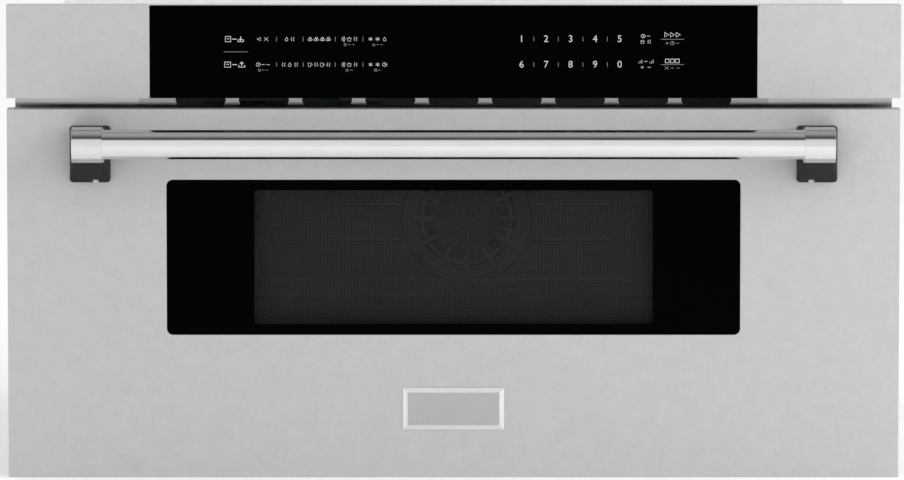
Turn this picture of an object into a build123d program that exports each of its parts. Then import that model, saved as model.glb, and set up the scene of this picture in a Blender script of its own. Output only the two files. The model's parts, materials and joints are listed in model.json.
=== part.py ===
from build123d import *
import math
import os

# A built-in microwave oven in a drawer, in millimetres. X is to the user's right, Y to the back and
# Z up. x = 0 is the centre line, y = 0 the cabinet's face and z = 0 the floor of the cut-out.

# ---- Front, as the user sees it
front_width = 758.8
door_height = 314.8
panel_height = 79.0
vent_gap = 9.4                  # open slot between the door and the control panel
front_below_floor = 11.0        # how far the door hangs below the floor of the cut-out
front_above_casing = 20.2
front_beside_casing = 29.4      # on each side
front_depth = 38.0
door_gap = 1.0                  # between the shut door and the face frame
skin_sheet = 1.2
skin_return = 22.0              # depth of the sides of the folded skins
liner_inset = 4.4               # step from the skin's sides in to the parts behind them

# ---- Casing
chassis_depth = 574.0
panel_sheet = 0.8
base_sheet = 1.2
flange_fold = 14.0
face_frame_sheet = 1.5
face_frame_inset = 2.0          # from the front's lower and upper edges
face_frame_side_inset = 4.9
mount_hole_radius = 2.25
mount_hole_beside = 12.0        # from the casing's side out to the hole
mount_hole_low = 30.0
mount_hole_below_roof = 82.0
screw_radius = 1.95
screw_head_radius = 4.5
screw_head_height = 2.0
screw_length = 5.0
screw_clearance = 0.1
side_screws = 3
side_screw_edge = 60.0
rear_screws = 4
rear_screw_edge = 50.0
louvre_length = 44.0
louvre_height = 4.0
louvre_pitch = 12.0
louvre_column_pitch = 66.0
louvre_edge = 62.0              # from the back of the casing to the first louvre
top_louvre_columns = 5
top_louvre_rows = 6
side_louvre_columns = 3
side_louvre_rows = 8
rear_louvre_columns = 4
rear_louvre_rows = 7
rear_louvre_x = 130.0           # middle of the rear grille
slide_window_play = 3.0         # round the slides where they pass the face frame
rack_window_play = 6.0
hook_window_play = 4.0
pass_clearance = 0.2            # round what passes through the door's inner pan

# ---- Bays beside the cavity
bay_width = 128.4               # from the cavity's wall to the casing's side
bay_clearance = 6.2
shelf_above_slide = 8.6
shelf_rear_gap = 33.2

# ---- Cavity
cavity_depth = 428.0
cavity_floor = 88.0
cavity_sheet = 0.8
rear_wall_sheet = 1.2
rear_wall_overlap = 8.0
pressing_depth = 2.0
pressing_left = 122.0           # these four are measured from the fan guard's middle
pressing_right = 134.0
pressing_below = 41.0
rib_left = 112.0
rib_right = 131.0
rib_below = 21.0
rib_above = 11.0
rib_height = 4.0
rib_gap = 2.0                   # from the guard's rim
pressing_top_gap = 10.0
guard_x = 12.0
guard_z = 167.0
guard_radius = 60.0
guard_rim = 8.0
guard_hub_radius = 28.0
guard_thickness = 3.0
guard_bar = 4.0
guard_band = 3.0                # solid band between the two rings of slots
guard_spokes = 6
fan_port_inset = 10.0           # the port's edge lies this far inside the guard's

# ---- Stirrer, waveguide and lamp
stirrer_y = 225.0
stirrer_radius = 62.0
stirrer_blades = 4
stirrer_blade_width = 16.0
stirrer_sheet = 1.5
stirrer_shaft_radius = 3.0
stirrer_shaft_room = 4.0
stirrer_cover_depth = 21.0
stirrer_cover_width = 170.0
stirrer_cover_length = 170.0
stirrer_cover_sheet = 1.5
stirrer_cover_rim = 8.0
feed_rim = 8.0                  # from the feed opening to the blades' tips
waveguide_height = 40.0
waveguide_width = 84.0
waveguide_sheet = 1.0
waveguide_past_antenna = 30.0
waveguide_lip = 2.0             # floor left beside the feed opening
stirrer_motor_radius = 24.0
stirrer_motor_height = 20.0
stirrer_motor_ear = 10.0
stirrer_motor_ear_width = 12.0
motor_tag_width = 16.0
motor_tag_height = 10.0
motor_tag_reach = 34.0
motor_bore_depth = 14.0
lamp_y = 320.0
lamp_below_ceiling = 48.0
lamp_box = 40.0
lamp_box_depth = 32.0
lamp_sheet = 1.5
lamp_bulb_radius = 9.0
lamp_bulb_gap = 8.0
lamp_hole_radius = 3.0
lamp_hole_pitch = 9.0
lamp_hole_rows = 3

# ---- Fans
circulation_start = 5.0         # from the rear wall to the wheel
circulation_width = 14.0
circulation_tip_gap = 4.0       # the wheel is this much smaller than the port
circulation_vanes = 10
circulation_vane = 26.0
vane_sheet = 1.5
drum_gap = 10.0
drum_depth = 26.0
drum_sheet = 1.2
drum_rim = 8.0
fan_motor_radius = 30.0
fan_motor_length = 38.0
fan_motor_bore = 26.0
shaft_end_gap = 4.0
cooling_fan_y = 330.0
cooling_fan_below_ceiling = 68.1
cooling_ring_depth = 24.0
cooling_ring_edge = 8.0
cooling_ring_sheet = 2.0
cooling_tip_gap = 3.0
cooling_hub_radius = 15.0
cooling_hub_width = 18.0
cooling_fan_inset = 10.0
cooling_vanes = 6
cooling_vane_width = 22.0
cooling_vane_angle = 35.0
cooling_bar = 16.0
cooling_bar_sheet = 4.0
cooling_motor_radius = 21.0
cooling_motor_length = 34.0
cooling_bore_depth = 26.0

# ---- Electrical parts
magnetron_width = 82.0
magnetron_depth = 72.0
magnetron_height = 92.0
magnetron_sheet = 2.0
magnetron_core = 20.0
magnetron_core_below = 8.0
magnetron_fins = 6
magnetron_fin_sheet = 1.2
magnetron_fin_pitch = 8.0
magnetron_fin_low = 26.0
magnetron_fin_inset = 4.0
antenna_radius = 8.0
antenna_height = 24.0
antenna_room = 4.0
transformer_width = 92.0
transformer_length = 100.0
transformer_height = 78.0
transformer_front = 230.0
transformer_leg = 18.0
winding_length = 24.0
winding_height = 42.0
winding_overhang = 8.0
capacitor_length = 88.0
capacitor_width = 46.0
capacitor_height = 72.0
capacitor_y = 400.0
capacitor_tag = 6.0
capacitor_tag_sheet = 4.0
capacitor_tag_height = 10.0
capacitor_tag_offset = 14.0
board_edge_gap = 20.0           # from the cavity's left wall
board_front = 30.0
board_width = 110.0
board_length = 145.0
board_sheet = 1.6
board_lift = 10.0
board_foot_radius = 3.0
board_foot_inset = 5.0
relay_rows = 3
relay_pitch = 42.0
relay_width = 26.0
relay_length = 18.0
relay_height = 17.0
relay_inset = 10.0
sink_width = 22.0
sink_length = 90.0
sink_height = 25.0
sink_base = 4.0
sink_slots = 7
sink_slot = 6.0

# ---- Tray
tray_side_gap = 8.0
tray_lift = 3.0
tray_rear_gap = 13.0
tray_sheet = 1.0
tray_wall_height = 92.0
tray_back_height = 21.0
tray_hem = 3.0
tray_hem_height = 5.0
tray_glass_thickness = 5.0
tray_glass_gap = 5.0
tray_glass_corner = 12.0
tray_glass_bevel = 1.0

# ---- Door
window_width = 487.3
window_height = 131.9
window_low = 122.5              # from the door's lower edge
window_corner = 5.0
window_gap = 0.4
window_bevel = 0.3
glass_thickness = 4.0
view_width = 339.0
view_height = 114.5
mask_overlap = 8.0
mask_sheet = 2.0
screen_depth = 18.5             # from the front face back to the metal screen
screen_sheet = 0.8
screen_hole_radius = 3.0
screen_hole_pitch = 14.0
choke_width = 28.0
choke_sheet = 1.0
choke_flange = 5.0
choke_room = 0.6                # between the choke's flange and the door's upper wall
choke_slot = 6.0
choke_slot_pitch = 24.0
choke_cover_sheet = 2.0
choke_cover_gap = 0.2
liner_sheet = 1.5
badge_width = 86.3
badge_height = 35.7
badge_low = 41.0                # from the door's lower edge
badge_thickness = 1.9
badge_edge = 0.7
badge_bevel = 4.6

# ---- Handle
handle_bar_radius = 12.5
handle_bar_standoff = 48.0
handle_bar_below_top = 26.2     # these two are measured from the door's upper edge
handle_base_below_top = 13.8
handle_post_edge = 70.8         # from the door's side to the post's middle
handle_socket_wall = 2.5
handle_head_width = 25.6
handle_base_width = 34.5
handle_base_height = 48.1
handle_base_thickness = 4.0
handle_base_corner = 3.0
handle_bar_fit = 0.05
handle_socket_end = 3.0
set_screw_radius = 2.6
set_screw_length = 7.0
set_screw_hole = 6.0
set_screw_proud = 1.0
set_screw_key = 2.0
set_screw_offset = 5.0
set_screw_up = 5.0              # from the base up the sloping underside

# ---- Control panel
end_panel_width = 121.8
end_panel_corner = 3.0
panel_joint = 0.4
control_glass_thickness = 4.0
control_glass_bevel = 0.5
wiring_window_width = 120.0
wiring_window_height = 28.0
wiring_window_low = 19.5        # from the panel's lower edge

# ---- Vent strip
vent_strip_end = 31.3           # from the last slot to the strip's end
vent_strip_rim = 4.0            # below the door's upper edge, out of sight
vent_strip_sheet = 0.8
vent_slots = 9
vent_slot_pitch = 54.0
vent_slot_length = 43.4
vent_slot_height = 10.0
vent_slot_lean = 2.3

# ---- Drawer slides, one pair
slide_length = 500.0
slide_travel = 400.0
slide_front = 2.0               # from the cabinet's face
slide_beside_panel = 47.2       # from the casing's side to the slide's mounting face
slide_z = 44.7
slide_height = 45.4
slide_thickness = 12.2
slide_sheet = 1.2
slide_nose = 20.0               # the inner member's reach in front of the cabinet's face
middle_web_offset = 2.0
inner_rail_depth = 7.2
ball_radius = 1.75
ball_play = 0.25
ball_pocket_play = 0.15
cage_sheet = 0.4
cage_play = 0.2
cage_arm = 1.0
cage_arm_reach = 3.2            # past the balls' centres
cage_length = 180.0
cage_front = 200.0
cage_balls = 8
angle_foot = 26.0
angle_sheet = 2.0

# ---- Rack and pinion
gear_module = 1.5
pinion_teeth = 20
gear_pressure = 20.0
gear_backlash = 0.18
gear_addendum = 1.0
gear_dedendum = 1.25
pinion_y = 30.0
pinion_width = 12.0
rack_width = 12.0
rack_base = 2.8
rack_body = 13.7                # from the rack's underside up to its pitch line
rack_overrun = 10.0             # behind the pinion with the drawer fully open
rack_side_play = 0.5
rack_floor_play = 0.4
rack_head_width = 40.0
rack_head_sheet = 4.0
rack_head_rise = 4.5            # above the pitch line
rack_guide_front = 1.0
rack_guide_overrun = 20.0
rack_guide_below_pitch = 3.75
drive_shaft_radius = 3.0
shaft_reach = 24.0              # from the pinion's side into the gearbox
shaft_clearance = 0.1
shaft_room = 1.0
drive_sheet = 1.6
drive_ear_gap = 2.0             # between the pinion's side and the bracket's ear
drive_ear_rim = 3.0
gearbox_front = 18.0
gearbox_back = 28.0
gearbox_half_height = 20.0
gearbox_width = 28.0
drive_motor_length = 56.0
drive_motor_radius = 17.0
drive_neck_length = 6.0
drive_neck_radius = 7.0

# ---- Door interlock
hook_beside_cavity = 47.2
hook_below_ceiling = 68.0
hook_width = 4.0
hook_height = 20.0
hook_reach = 30.0
hook_foot = 7.0
hook_foot_sheet = 3.0
hook_notch = 10.0
hook_notch_end = 8.0
plunger_radius = 2.0
plunger_gap = 0.3
plunger_proud = 4.0
plunger_bore = 16.0
plunger_room = 2.4              # behind the plunger in its bore
switch_width = 18.0
switch_height = 30.0
switch_length = 32.0
switch_bracket_sheet = 2.0
switch_bracket_drop = 25.0

# ---- Mains inlet
gland_edge = 100.0              # from the casing's left side
gland_z = 60.0
gland_bore = 5.0
gland_radius = 10.0
gland_flange_radius = 14.0
gland_flange = 2.0
gland_reach = 12.0              # inside the rear panel's outer face

# ---- Worked out from the sizes above
half_front = front_width / 2
door_low = -front_below_floor
door_high = door_low + door_height
panel_low = door_high + vent_gap
panel_high = panel_low + panel_height
panel_z = (panel_low + panel_high) / 2
frame_front = -face_frame_sheet
door_back = frame_front - door_gap
front_face = door_back - front_depth
skin_back = front_face + skin_sheet
return_end = front_face + skin_return
half_liner = half_front - liner_inset
liner_low = door_low + liner_inset
liner_high = door_high - liner_inset
liner_face = door_back - liner_sheet

half_chassis = half_front - front_beside_casing
chassis_height = panel_high - front_above_casing
chassis_inner = half_chassis - panel_sheet
roof_z = chassis_height - panel_sheet
rear_y = chassis_depth - panel_sheet
half_frame = half_front - face_frame_side_inset
mount_hole_x = half_chassis + mount_hole_beside
mount_hole_high = chassis_height - mount_hole_below_roof
side_screw_pitch = (chassis_depth - 2 * side_screw_edge) / (side_screws - 1)
rear_screw_pitch = 2 * (half_chassis - rear_screw_edge) / (rear_screws - 1)
low_screw_z = base_sheet + flange_fold / 2
high_screw_z = roof_z - flange_fold / 2
gland_x = gland_edge - half_chassis

cavity_side = chassis_inner - bay_width
half_cavity = cavity_side - cavity_sheet
bay_middle = (cavity_side + chassis_inner) / 2
choke_inner_high = liner_high - liner_sheet - choke_room - choke_flange - choke_width
cavity_top = choke_inner_high + tray_lift
ceiling_z = cavity_top + cavity_sheet
rear_wall_back = cavity_depth + rear_wall_sheet
rear_pressing = cavity_depth - pressing_depth
fan_port_radius = guard_radius - fan_port_inset
stirrer_blade_z = cavity_top - stirrer_cover_depth / 2
waveguide_top = ceiling_z + waveguide_height
circulation_radius = fan_port_radius - circulation_tip_gap
circulation_end = rear_wall_back + circulation_start + circulation_width
drum_radius = circulation_radius + drum_gap
drum_back = rear_wall_back + drum_depth
cooling_plate_half = bay_width / 2 - bay_clearance
cooling_duct_radius = cooling_plate_half - cooling_ring_edge
cooling_fan_radius = cooling_duct_radius - cooling_tip_gap
cooling_fan_z = ceiling_z - cooling_fan_below_ceiling
lamp_z = cavity_top - lamp_below_ceiling

half_tray = half_cavity - tray_side_gap
tray_low = cavity_floor + tray_lift
tray_high = tray_low + tray_wall_height
tray_back = cavity_depth - tray_rear_gap

window_bottom = door_low + window_low
window_top = window_bottom + window_height
window_z = (window_bottom + window_top) / 2
glass_back = front_face + glass_thickness
mask_back = glass_back + mask_sheet
screen_front = front_face + screen_depth
screen_back = screen_front + screen_sheet

choke_mid_z = (tray_low + choke_inner_high) / 2
choke_inner_width = 2 * half_tray
choke_inner_height = choke_inner_high - tray_low
choke_outer_width = choke_inner_width + 2 * choke_width
choke_outer_height = choke_inner_height + 2 * choke_width

bar_y = front_face - handle_bar_standoff
post_base_face = front_face - handle_base_thickness
handle_z = door_high - handle_bar_below_top
handle_post_x = half_front - handle_post_edge
handle_head_radius = handle_bar_radius + handle_socket_wall
handle_base_low = door_high - handle_base_below_top - handle_base_height
handle_base_z = handle_base_low + handle_base_height / 2
handle_foot_run = post_base_face - bar_y
handle_foot_drop = handle_z - handle_base_low
handle_touch = math.acos(handle_head_radius / math.hypot(handle_foot_run, handle_foot_drop))
handle_touch = handle_touch + math.atan2(handle_foot_drop, handle_foot_run)
neck_end_y = bar_y + handle_head_radius * math.cos(handle_touch)
neck_half_height = handle_head_radius * math.sin(handle_touch)
bar_half_length = handle_post_x + handle_head_width / 2 - handle_socket_end

glass_half = half_front - end_panel_width
housing_front = front_face + control_glass_thickness
housing_low = panel_low + skin_sheet
housing_high = panel_high - skin_sheet
strip_front = frame_front - vent_strip_sheet
vent_half_span = (vent_slots - 1) / 2 * vent_slot_pitch + vent_slot_length / 2

half_outer = slide_height / 2
outer_lip = half_outer - slide_sheet
half_middle = outer_lip - 2 * (ball_radius + ball_play)
middle_lip = half_middle - slide_sheet
half_inner = middle_lip - 2 * (ball_radius + ball_play)
slide_outer_x = chassis_inner - slide_beside_panel
slide_inner_x = slide_outer_x - slide_thickness
slide_back = slide_front + slide_length
outer_ball_z = (outer_lip + half_middle) / 2
inner_ball_z = (middle_lip + half_inner) / 2
shelf_z = slide_z + half_outer + shelf_above_slide
shelf_top = shelf_z + base_sheet
shelf_back = rear_y - shelf_rear_gap

pinion_radius = gear_module * pinion_teeth / 2
rack_pitch_z = rack_base + rack_body
rack_tip_z = rack_pitch_z + gear_addendum * gear_module
rack_end = pinion_y + slide_travel + rack_overrun
pinion_z = rack_pitch_z + pinion_radius
motor_face = pinion_width / 2 + drive_ear_gap + drive_sheet

hook_x = cavity_side + hook_beside_cavity
hook_z = cavity_top - hook_below_ceiling
switch_y = hook_reach + plunger_gap


# ---- Small makers that the pieces share
def block(x, y, z):
    """A box between the low and high ends given for each axis."""
    corner = Align.MIN, Align.MIN, Align.MIN
    return Pos(x[0], y[0], z[0]) * Box(x[1] - x[0], y[1] - y[0], z[1] - z[0], align=corner)


def side_span(side, near, far):
    """The X ends, low first, of a stretch from near to far out on one side of the centre line."""
    return (near, far) if side > 0 else (-far, -near)


def standing_rod(radius, length):
    """A cylinder that stands on the origin."""
    return Cylinder(radius, length, align=(Align.CENTER, Align.CENTER, Align.MIN))


def rod_x(x, y, z, radius):
    """A cylinder along X between the two ends in x."""
    return Pos(x[0], y, z) * Rot(0, 90, 0) * standing_rod(radius, x[1] - x[0])


def rod_y(x, y, z, radius):
    """A cylinder along Y between the two ends in y."""
    return Pos(x, y[1], z) * Rot(90, 0, 0) * standing_rod(radius, y[1] - y[0])


def rod_z(x, y, z, radius):
    """A cylinder along Z between the two ends in z."""
    return Pos(x, y, z[0]) * standing_rod(radius, z[1] - z[0])


def front_plate(width, height, corner, x, y, z):
    """An upright plate between the ends in y, centred on x and z, with rounded corners."""
    face = RectangleRounded(width, height, corner) if corner else Rectangle(width, height)
    return Pos(x, y[1], z) * Rot(90, 0, 0) * extrude(face, y[1] - y[0])


def upright_ring(outer, inner, x, y, z, corner=0.0):
    """A rectangular ring between the ends in y; outer and inner are its width and height."""
    hole = front_plate(inner[0], inner[1], corner, x, (y[0] - 1, y[1] + 1), z)
    return front_plate(outer[0], outer[1], corner, x, y, z) - hole


def hex_slot(x, y, z, length, height, lean):
    """A long slot with pointed ends, cut along Y."""
    tip = length / 2
    flat = tip - lean
    outline = Polyline(
        (-tip, 0), (-flat, height / 2), (flat, height / 2), (tip, 0), (flat, -height / 2), (-flat, -height / 2),
        close=True,
    )
    return Pos(x, y[1], z) * Rot(90, 0, 0) * extrude(make_face(outline), y[1] - y[0])


def join(pieces):
    """All the given shapes as one."""
    whole = pieces[0]
    for piece in pieces[1:]:
        whole = whole + piece
    return whole


def apart(pieces):
    """Separate solids that share one node."""
    solids = []
    for piece in pieces:
        solids.extend(piece.solids())
    return Compound(children=solids)


# ---- Screws that hold the casing
def screw_sites():
    """Where each casing screw's head seats, with the direction that the head faces."""
    sites = []
    for side in (-1, 1):
        for number in range(side_screws):
            y = side_screw_edge + number * side_screw_pitch
            for z in (low_screw_z, high_screw_z):
                sites.append(((side * half_chassis, y, z), "X", side))
    for number in range(rear_screws):
        x = rear_screw_edge - half_chassis + number * rear_screw_pitch
        for z in (low_screw_z, high_screw_z):
            sites.append(((x, chassis_depth, z), "Y", 1))
        sites.append(((x, flange_fold / 2, chassis_height), "Z", 1))
    return sites


def along(site, radius, low, high):
    """A cylinder on a screw's axis, from low to high measured outward from its seat."""
    (x, y, z), axis, way = site
    if axis == "X":
        ends = sorted((x + way * low, x + way * high))
        return rod_x(ends, y, z, radius)
    if axis == "Y":
        return rod_y(x, (y + low, y + high), z, radius)
    return rod_z(x, y, (z + low, z + high), radius)


def drilled(piece):
    """The piece with a clearance hole for each casing screw."""
    for site in screw_sites():
        piece = piece - along(site, screw_radius + screw_clearance, -2 * screw_length, screw_head_height)
    return piece


def chassis_screws():
    """The pan-headed screws that hold the casing's panels."""
    screws = []
    for site in screw_sites():
        head = along(site, screw_head_radius, 0, screw_head_height)
        screws.append(head + along(site, screw_radius, -screw_length, screw_head_height / 2))
    return apart(screws)


# ---- Casing
def base_plate():
    """Floor of the casing, with its sides and rear edge turned up."""
    floor = block((-chassis_inner, chassis_inner), (0, rear_y), (0, base_sheet))
    folds = [floor]
    for side in (-1, 1):
        edge = side_span(side, chassis_inner - base_sheet, chassis_inner)
        folds.append(block(edge, (0, rear_y), (0, base_sheet + flange_fold)))
    rear = (-chassis_inner + 2 * flange_fold, chassis_inner - 2 * flange_fold)
    folds.append(block(rear, (rear_y - base_sheet, rear_y), (0, base_sheet + flange_fold)))
    return drilled(join(folds))


def top_cover():
    """Roof of the casing, with its sides and rear edge turned down and cooling louvres."""
    cover = block((-chassis_inner, chassis_inner), (0, rear_y), (roof_z, chassis_height))
    folds = [cover]
    for side in (-1, 1):
        edge = side_span(side, chassis_inner - panel_sheet, chassis_inner)
        folds.append(block(edge, (flange_fold, rear_y), (roof_z - flange_fold, chassis_height)))
    rear = (-chassis_inner + 2 * flange_fold, chassis_inner - 2 * flange_fold)
    folds.append(block(rear, (rear_y - panel_sheet, rear_y), (roof_z - flange_fold, chassis_height)))
    lid = join(folds)
    for column in range(top_louvre_columns):
        for row in range(top_louvre_rows):
            x = (column - (top_louvre_columns - 1) / 2) * louvre_column_pitch
            y = chassis_depth - louvre_edge - row * louvre_pitch
            louvre_x = (x - louvre_length / 2, x + louvre_length / 2)
            lid = lid - block(louvre_x, (y, y + louvre_height), (roof_z - 1, chassis_height + 1))
    return drilled(lid)


def side_panel(side):
    """One side of the casing, with a bank of louvres near the back."""
    panel = block(side_span(side, chassis_inner, half_chassis), (0, chassis_depth), (0, chassis_height))
    through = side_span(side, chassis_inner - 1, half_chassis + 1)
    for column in range(side_louvre_columns):
        for row in range(side_louvre_rows):
            y = chassis_depth - louvre_edge - louvre_length - column * louvre_column_pitch
            z = chassis_height / 2 + (row - side_louvre_rows / 2) * louvre_pitch
            panel = panel - block(through, (y, y + louvre_length), (z, z + louvre_height))
    return drilled(panel)


def rear_panel():
    """Back of the casing, with turned sides, an air grille and the mains inlet's hole."""
    panel = block((-chassis_inner, chassis_inner), (rear_y, chassis_depth), (base_sheet, roof_z))
    folds = [panel]
    fold_ends = (base_sheet + 1.5 * flange_fold, roof_z - 1.5 * flange_fold)
    for side in (-1, 1):
        edge = side_span(side, chassis_inner - panel_sheet, chassis_inner)
        folds.append(block(edge, (rear_y - flange_fold, rear_y), fold_ends))
    back = join(folds)
    through = (rear_y - 1, chassis_depth + 1)
    for column in range(rear_louvre_columns):
        for row in range(rear_louvre_rows):
            x = rear_louvre_x + (column - (rear_louvre_columns - 1) / 2) * louvre_column_pitch
            z = chassis_height / 2 + (row - rear_louvre_rows / 2) * louvre_pitch
            louvre_x = (x - louvre_length / 2, x + louvre_length / 2)
            back = back - block(louvre_x, through, (z, z + louvre_height))
    back = back - rod_y(gland_x, through, gland_z, gland_radius + screw_clearance)
    return drilled(back)


def wiring_window(y):
    """Opening for the control panel's leads, through whatever lies between the ends in y."""
    half = wiring_window_width / 2
    low = panel_low + wiring_window_low
    return block((-half, half), y, (low, low + wiring_window_height))


def face_frame():
    """Front plate of the casing, which overlaps the cabinet's face and carries the fixing holes."""
    plate_z = (door_low + face_frame_inset, panel_high - face_frame_inset)
    through = (frame_front - 1, 1)
    plate = block((-half_frame, half_frame), (frame_front, 0), plate_z)
    plate = plate - block((-half_cavity, half_cavity), through, (cavity_floor, cavity_top))
    slide_half = half_outer + slide_window_play
    for side in (-1, 1):
        slide_x = side_span(side, slide_inner_x - slide_window_play, slide_outer_x + slide_window_play)
        plate = plate - block(slide_x, through, (slide_z - slide_half, slide_z + slide_half))
        for z in (mount_hole_low, mount_hole_high):
            plate = plate - rod_y(side * mount_hole_x, through, z, mount_hole_radius)
    rack_half = rack_width / 2 + rack_window_play
    plate = plate - block((-rack_half, rack_half), through, (base_sheet, pinion_z))
    hook_half = hook_width / 2 + hook_window_play
    hook_high = hook_height / 2 + hook_window_play
    plate = plate - block((hook_x - hook_half, hook_x + hook_half), through, (hook_z - hook_high, hook_z + hook_high))
    vent_half = vent_half_span + vent_strip_rim / 2
    plate = plate - block((-vent_half, vent_half), through, (door_high, panel_low))
    plate = plate - wiring_window(through)
    fold_x = chassis_inner - 2 * flange_fold
    folds = [plate, block((-fold_x, fold_x), (0, flange_fold), (roof_z - face_frame_sheet, roof_z))]
    for side in (-1, 1):
        low_fold_x = side_span(side, rack_half + rack_window_play, fold_x)
        folds.append(block(low_fold_x, (0, flange_fold), (base_sheet, base_sheet + face_frame_sheet)))
    return drilled(join(folds))


def cord_gland():
    """Plastic bush for the mains lead in the rear panel."""
    inner_end = chassis_depth - gland_reach
    outer_end = chassis_depth + gland_flange
    bush = rod_y(gland_x, (inner_end, outer_end), gland_z, gland_radius)
    flange = rod_y(gland_x, (chassis_depth, outer_end), gland_z, gland_flange_radius)
    return bush + flange - rod_y(gland_x, (inner_end - 1, outer_end + 1), gland_z, gland_bore)


def bay_shelf(side):
    """Folded shelf beside the cavity: it carries the electrical parts above and the slide below."""
    ends = (0, shelf_back)
    web = block(side_span(side, slide_outer_x, slide_outer_x + base_sheet), ends, (base_sheet, shelf_z))
    foot = block(side_span(side, slide_outer_x, slide_outer_x + flange_fold), ends, (base_sheet, 2 * base_sheet))
    deck = block(side_span(side, cavity_side, chassis_inner), ends, (shelf_z, shelf_top))
    fold_z = (shelf_z, cavity_floor + flange_fold)
    fold = block(side_span(side, cavity_side, cavity_side + base_sheet), (0, cavity_depth), fold_z)
    frame_fold_x = side_span(side, slide_outer_x - 1, chassis_inner)
    frame_fold_z = (0, base_sheet + face_frame_sheet + pass_clearance)
    frame_fold = block(frame_fold_x, (-1, flange_fold + 1), frame_fold_z)
    return web + foot + deck + fold - frame_fold


# ---- Cavity
def feed_opening(z):
    """Opening between the waveguide and the stirrer, through whatever lies between the ends in z."""
    half_x = stirrer_radius - feed_rim
    half_y = waveguide_width / 2 - waveguide_lip
    return block((-half_x, half_x), (stirrer_y - half_y, stirrer_y + half_y), z)


def lamp_holes(piece):
    """The piece with a grid of lamp holes through both side walls."""
    middle = (lamp_hole_rows - 1) / 2
    for row in range(lamp_hole_rows):
        for column in range(lamp_hole_rows):
            y = lamp_y + (column - middle) * lamp_hole_pitch
            z = lamp_z + (row - middle) * lamp_hole_pitch
            for side in (-1, 1):
                through = side_span(side, half_cavity - 1, cavity_side + 1)
                piece = piece - rod_x(through, y, z, lamp_hole_radius)
    return piece


def cavity_wrap():
    """Floor, walls and ceiling of the oven, folded from one sheet, open at the front and back."""
    outer = block((-cavity_side, cavity_side), (0, cavity_depth), (cavity_floor - cavity_sheet, ceiling_z))
    wrap = outer - block((-half_cavity, half_cavity), (-1, cavity_depth + 1), (cavity_floor, cavity_top))
    return lamp_holes(wrap - feed_opening((cavity_top - 1, ceiling_z + 1)))


def cavity_rear_wall():
    """Back of the oven, with its pressed panel, four ribs and the fan's port."""
    half = half_cavity + rear_wall_overlap
    wall_z = (cavity_floor - rear_wall_overlap, cavity_top + rear_wall_overlap)
    wall = block((-half, half), (cavity_depth, rear_wall_back), wall_z)
    pressed_x = (guard_x - pressing_left, guard_x + pressing_right)
    pressed_z = (guard_z - pressing_below, cavity_top - pressing_top_gap)
    wall = wall + block(pressed_x, (rear_pressing, cavity_depth), pressed_z)
    rib_y = (rear_pressing - pressing_depth, rear_pressing)
    left = (guard_x - rib_left, guard_x - guard_radius - rib_gap)
    right = (guard_x + guard_radius + rib_gap, guard_x + rib_right)
    for rib_z in (guard_z - rib_below, guard_z + rib_above):
        for rib_x in (left, right):
            wall = wall + block(rib_x, rib_y, (rib_z - rib_height / 2, rib_z + rib_height / 2))
    return wall - rod_y(guard_x, (rear_pressing - 1, rear_wall_back + 1), guard_z, fan_port_radius)


def guard_ring(inner, outer, y):
    """One ring of the guard's slots, with the spokes left out of it."""
    middle_y = (y[0] + y[1]) / 2
    ring = rod_y(guard_x, (y[0] - 1, y[1] + 1), guard_z, outer)
    ring = ring - rod_y(guard_x, (y[0] - 2, y[1] + 2), guard_z, inner)
    for spoke in range(guard_spokes):
        bar = Box(2 * guard_radius, 4 * guard_thickness, guard_bar)
        ring = ring - Pos(guard_x, middle_y, guard_z) * Rot(0, 180 / guard_spokes * spoke, 0) * bar
    return ring


def rear_fan_guard():
    """Round slotted guard over the fan's port."""
    y = (rear_pressing - guard_thickness, rear_pressing)
    guard = rod_y(guard_x, y, guard_z, guard_radius)
    inner_edge = guard_hub_radius + guard_band / 2
    outer_edge = guard_radius - guard_rim
    middle = (inner_edge + outer_edge) / 2
    guard = guard - guard_ring(inner_edge, middle - guard_band / 2, y)
    return guard - guard_ring(middle + guard_band / 2, outer_edge, y)


def stirrer_cover():
    """Shallow plastic pan under the ceiling that keeps food off the stirrer."""
    sheet = stirrer_cover_sheet
    low = cavity_top - stirrer_cover_depth
    width = stirrer_cover_width
    length = stirrer_cover_length
    rim = 2 * stirrer_cover_rim
    cover = standing_box(width, length, (low, cavity_top))
    cover = cover + standing_box(width + rim, length + rim, (cavity_top - sheet, cavity_top))
    return cover - standing_box(width - 2 * sheet, length - 2 * sheet, (low + sheet, cavity_top + 1))


def standing_box(width, length, z):
    """A box centred over the stirrer between the two ends in z."""
    y = (stirrer_y - length / 2, stirrer_y + length / 2)
    return block((-width / 2, width / 2), y, z)


def waveguide():
    """Rectangular duct on the ceiling, from the magnetron to the stirrer."""
    sheet = waveguide_sheet
    x = (-stirrer_radius, bay_middle + waveguide_past_antenna)
    y = (stirrer_y - waveguide_width / 2, stirrer_y + waveguide_width / 2)
    duct = block(x, y, (ceiling_z, waveguide_top))
    inner_z = (ceiling_z + sheet, waveguide_top - sheet)
    duct = duct - block((x[0] + sheet, x[1] - sheet), (y[0] + sheet, y[1] - sheet), inner_z)
    duct = duct - feed_opening((ceiling_z - 1, ceiling_z + 2 * sheet))
    duct = duct - rod_z(0, stirrer_y, (ceiling_z - 1, waveguide_top + 1), stirrer_shaft_room)
    antenna_hole = antenna_radius + antenna_room
    return duct - rod_z(bay_middle, stirrer_y, (ceiling_z - 1, ceiling_z + 2 * sheet), antenna_hole)


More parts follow.
